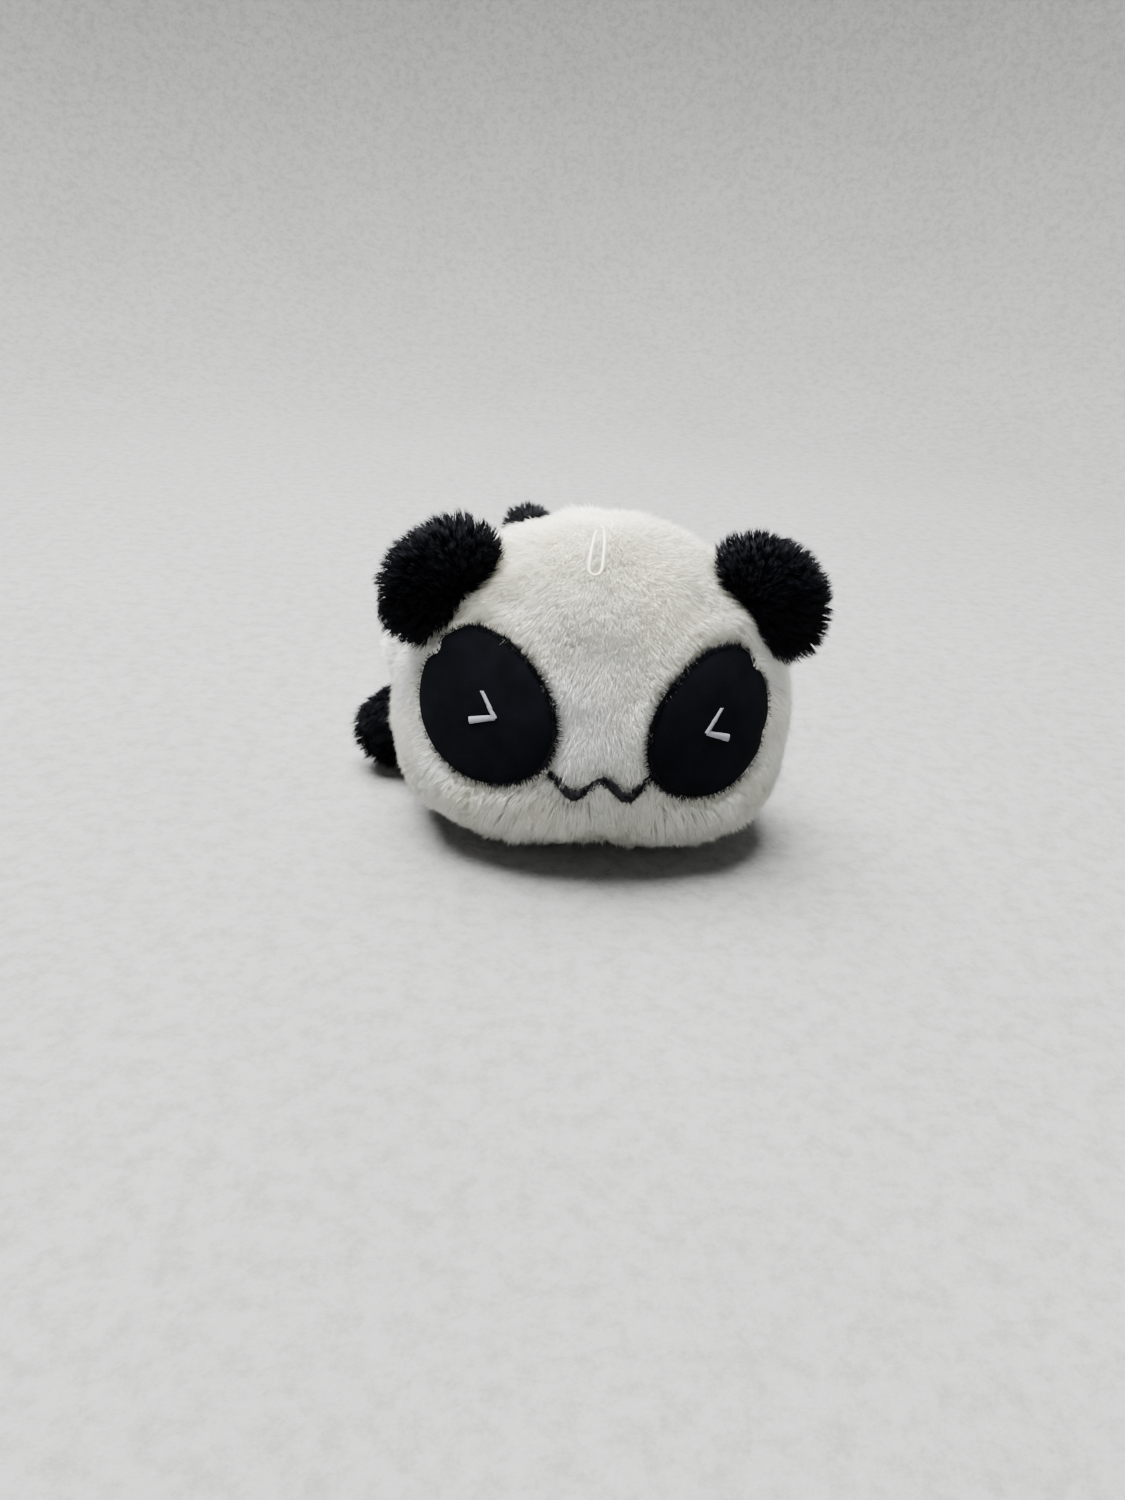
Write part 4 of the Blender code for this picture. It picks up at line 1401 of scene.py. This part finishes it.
class BuildPatches(bpy.types.Operator):
    """Makes the eye patches: smooth cloth with a turned edge and short fuzz along it."""

    bl_idname = "plush.build_patches"
    bl_label = "Eye patches"

    def execute(self, context):
        for seed, side in ((101, "left"), (103, "right")):
            self.patch(side)
            self.fuzz(side, seed)
        return {"FINISHED"}

    def patch(self, side):
        rings, sides = 14, 96
        points = []
        drift = Drift(7 if side == "left" else 9, 9 * MM)
        for under in (False, True):
            for i in range(rings + 1):
                share = math.sin(math.pi / 2 * i / rings)
                for k in range(sides):
                    angle = math.tau * k / sides
                    x, z = patch_point(side, angle, share)
                    turned = math.sqrt(max(0.0, 1 - share**8))
                    lift = 0.1 * MM if under else (0.25 + 1.25 * turned) * MM
                    place, normal = on_face(x, z, lift)
                    if not under:
                        wave = drift(np.array([tuple(place)]))[0, 0]
                        place += normal * 0.22 * MM * wave * (1 - share**3)
                    points.append(tuple(place))
        faces = ring_bands(0, rings + 1, sides)
        faces += [quad[::-1] for quad in ring_bands((rings + 1) * sides, rings + 1, sides)]
        a, b = rings * sides, (2 * rings + 1) * sides
        for k in range(sides):
            m = (k + 1) % sides
            faces.append((a + k, b + k, b + m, a + m))
        mesh = bmesh.new()
        verts = [mesh.verts.new(point) for point in points]
        for face in faces:
            mesh.faces.new([verts[i] for i in face])
        bmesh.ops.remove_doubles(mesh, verts=mesh.verts, dist=0.01 * MM)
        bmesh.ops.recalc_face_normals(mesh, faces=mesh.faces)
        data = bpy.data.meshes.new(f"patch_{side}")
        mesh.to_mesh(data)
        mesh.free()
        made = linked(f"patch_{side}", smoothed(data), patch_material())
        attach(made, "head")
        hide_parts(f"eye_patch_{side}")

    def fuzz(self, side, seed):
        """Short black fibres that stand out of the patch's edge, most of them by the nose."""
        random = np.random.default_rng(seed)
        starts, runs, reaches = [], [], []
        inner = math.pi / 2 if side == "left" else -math.pi / 2
        centre = PATCH_CENTRES[side]
        for _ in range(3600):
            angle = random.random() * math.tau
            facing = 0.5 + 0.5 * math.cos(angle - inner)
            if random.random() > 0.15 + 0.85 * facing:
                continue
            x, z = patch_point(side, angle, 0.95 + 0.05 * random.random())
            place, normal = on_face(x, z, 0.9 * MM)
            outward = Vector((x - centre[0], 0, z - centre[1])).normalized()
            out = (outward - normal * outward.dot(normal)).normalized()
            reach = (0.6 + 1.8 * random.random() ** 1.5 * (0.3 + facing)) * MM
            skew = Vector(random.standard_normal(3)) * 0.35
            starts.append(tuple(place))
            runs.append(tuple(out + normal * 0.45 + skew))
            reaches.append(reach)
        loose_fibres(f"patch_{side}_fuzz", starts, runs, reaches, seed)


class BuildWinks(bpy.types.Operator):
    """Makes the winks: two strokes of white satin stitch on each patch."""

    bl_idname = "plush.build_winks"
    bl_label = "Winks"

    def execute(self, context):
        for seed, side in ((111, "left"), (113, "right")):
            self.wink(side, np.random.default_rng(seed))
        return {"FINISHED"}

    def wink(self, side, random):
        turn = 1 if side == "left" else -1
        centre = WINK_CENTRES[side]
        thread = sizes().satin_thread
        strokes = (
            (WINK_TIP, WINK_UPPER_END, 0.85 * MM, 0.6 * MM),
            (WINK_TIP, WINK_LOWER_END, 0.95 * MM, 1.45 * MM),
        )
        parts = []
        for start, end, wide_start, wide_end in strokes:
            start, end = Vector(start), Vector(end)
            run = end - start
            across = Vector((-run.y, run.x)).normalized()
            count = int(run.length / (thread * 0.74))
            for i in range(count + 1):
                share = i / count
                middle = start + run * share
                wide = wide_start + (wide_end - wide_start) * share
                wide *= 0.94 + 0.12 * random.random()
                skew = run.normalized() * thread * 0.5
                path = []
                for k in range(7):
                    t = k / 6 * 2 - 1
                    spot = middle + across * wide / 2 * t + skew * t
                    lift = (1.55 + 0.32 * math.sqrt(max(0, 1 - t * t))) * MM
                    path.append(on_face(centre[0] + turn * spot.x, centre[1] + spot.y, lift)[0])
                parts.append(tube("stitch", path, thread, sides=6))
        data = joined_mesh(f"wink_{side}", parts)
        satin = thread_material("White satin thread", colours().satin, 0.36, 0.3)
        made = linked(f"wink_{side}", data, satin)
        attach(made, "head")
        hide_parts(f"wink_stitching_{side}")


def loose_fibres(name, starts, runs, reaches, seed):
    """Short loose black fibres on the head, from starts along runs."""
    random = np.random.default_rng(seed)
    starts, runs = np.array(starts), unit(np.array(runs))
    reaches = np.array(reaches)[:, None]
    count = len(starts)
    middles = starts + runs * reaches * 0.5 + random.standard_normal((count, 3)) * reaches * 0.14
    data = fibre_mesh(
        name, starts, middles, starts + runs * reaches, np.full(count, 0.16 * MM),
        random.random(count), starts.min(axis=0), starts.max(axis=0), 1,
    )
    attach(linked(name, data, black_pile_material()), "head")


class BuildMouth(bpy.types.Operator):
    """Makes the mouth: back stitches of dark thread, half sunk in the pile."""

    bl_idname = "plush.build_mouth"
    bl_label = "Mouth"

    def execute(self, context):
        random = np.random.default_rng(127)
        line = mouth_line(MOUTH_POINTS)
        end = MOUTH_POINTS - 1
        thread = sizes().mouth_thread
        parts = []
        for strand in (-1, 0, 1):
            for start in range(0, end, MOUTH_STITCH):
                heavy = mouth_weight((start + MOUTH_STITCH / 2) / end)
                if strand and heavy < 0.3:
                    continue
                path = []
                last = min(end, start + MOUTH_STITCH + 3)
                apart, slant = random.standard_normal(2) * 0.22 * MM
                for i in range(start, last + 1, 2):
                    share = (i - start) / max(1, last - start)
                    x, z = line[i]
                    slope = slant + 0.4 * MM * heavy
                    z += strand * 0.6 * heavy * MM + slope * (0.5 - share) + apart
                    arch = (0.25 + 0.3 * heavy) * math.sin(math.pi * share)
                    lift = -0.45 + 1.3 * heavy + arch
                    path.append(on_face(x, z, (lift - 0.2 * abs(strand)) * MM)[0])
                wide = thread * (0.6 + 0.6 * heavy) * (0.9 + 0.2 * random.random())
                parts.append(tube("stitch", path, wide, sides=6))
        data = joined_mesh("mouth_thread", parts)
        dark = thread_material("Dark thread", colours().mouth, 0.75, 0.0)
        made = linked("mouth_thread", data, dark)
        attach(made, "head")
        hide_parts("mouth_stitching")
        self.frayed(random)
        return {"FINISHED"}

    def frayed(self, random):
        """Fibres that stand off the thread."""
        starts, runs, reaches = [], [], []
        line = mouth_line(MOUTH_POINTS)
        for _ in range(3200):
            share = random.random()
            if random.random() > mouth_weight(share):
                continue
            x, z = line[int((MOUTH_POINTS - 1) * share)]
            place, normal = on_face(x, z + 0.45 * MM * random.standard_normal(), 0.8 * MM)
            skew = Vector(random.standard_normal(3))
            starts.append(tuple(place))
            runs.append(tuple(normal * 0.7 + Vector((0, 0, -0.3)) + skew * 0.6))
            reaches.append((0.6 + 1.3 * random.random()) * MM)
        loose_fibres("mouth_fray", starts, runs, reaches, 131)


OPERATORS = (
    BuildStage,
    BuildLoop,
    BuildHead,
    BuildPatches,
    BuildWinks,
    BuildMouth,
    BuildEars,
    BuildNeck,
    BuildTorso,
    BuildLimbs,
)


class PlushPanel(bpy.types.Panel):
    """Lists the charm's pieces with their sizes and colours."""

    bl_idname = "VIEW3D_PT_plush_charm"
    bl_label = "Plush panda charm"
    bl_space_type = "VIEW_3D"
    bl_region_type = "UI"
    bl_category = "Plush"

    def draw(self, context):
        settings = context.scene.plush_charm
        for group in (settings.sizes, settings.colours):
            box = self.layout.box()
            for label in group.__annotations__:
                box.prop(group, label)
        for kind in OPERATORS:
            self.layout.operator(kind.bl_idname)


CLASSES = (PlushSizes, PlushColours, PlushSettings, *OPERATORS, PlushPanel)


def register():
    for kind in CLASSES:
        bpy.utils.register_class(kind)
    bpy.types.Scene.plush_charm = bpy.props.PointerProperty(
        type=PlushSettings, name="Plush panda charm", description="Sizes and colours of the charm"
    )


def unregister():
    del bpy.types.Scene.plush_charm
    for kind in reversed(CLASSES):
        bpy.utils.unregister_class(kind)


def main():
    register()
    for kind in OPERATORS:
        getattr(bpy.ops.plush, kind.bl_idname.split(".")[1])()


if __name__ == "__main__":
    main()
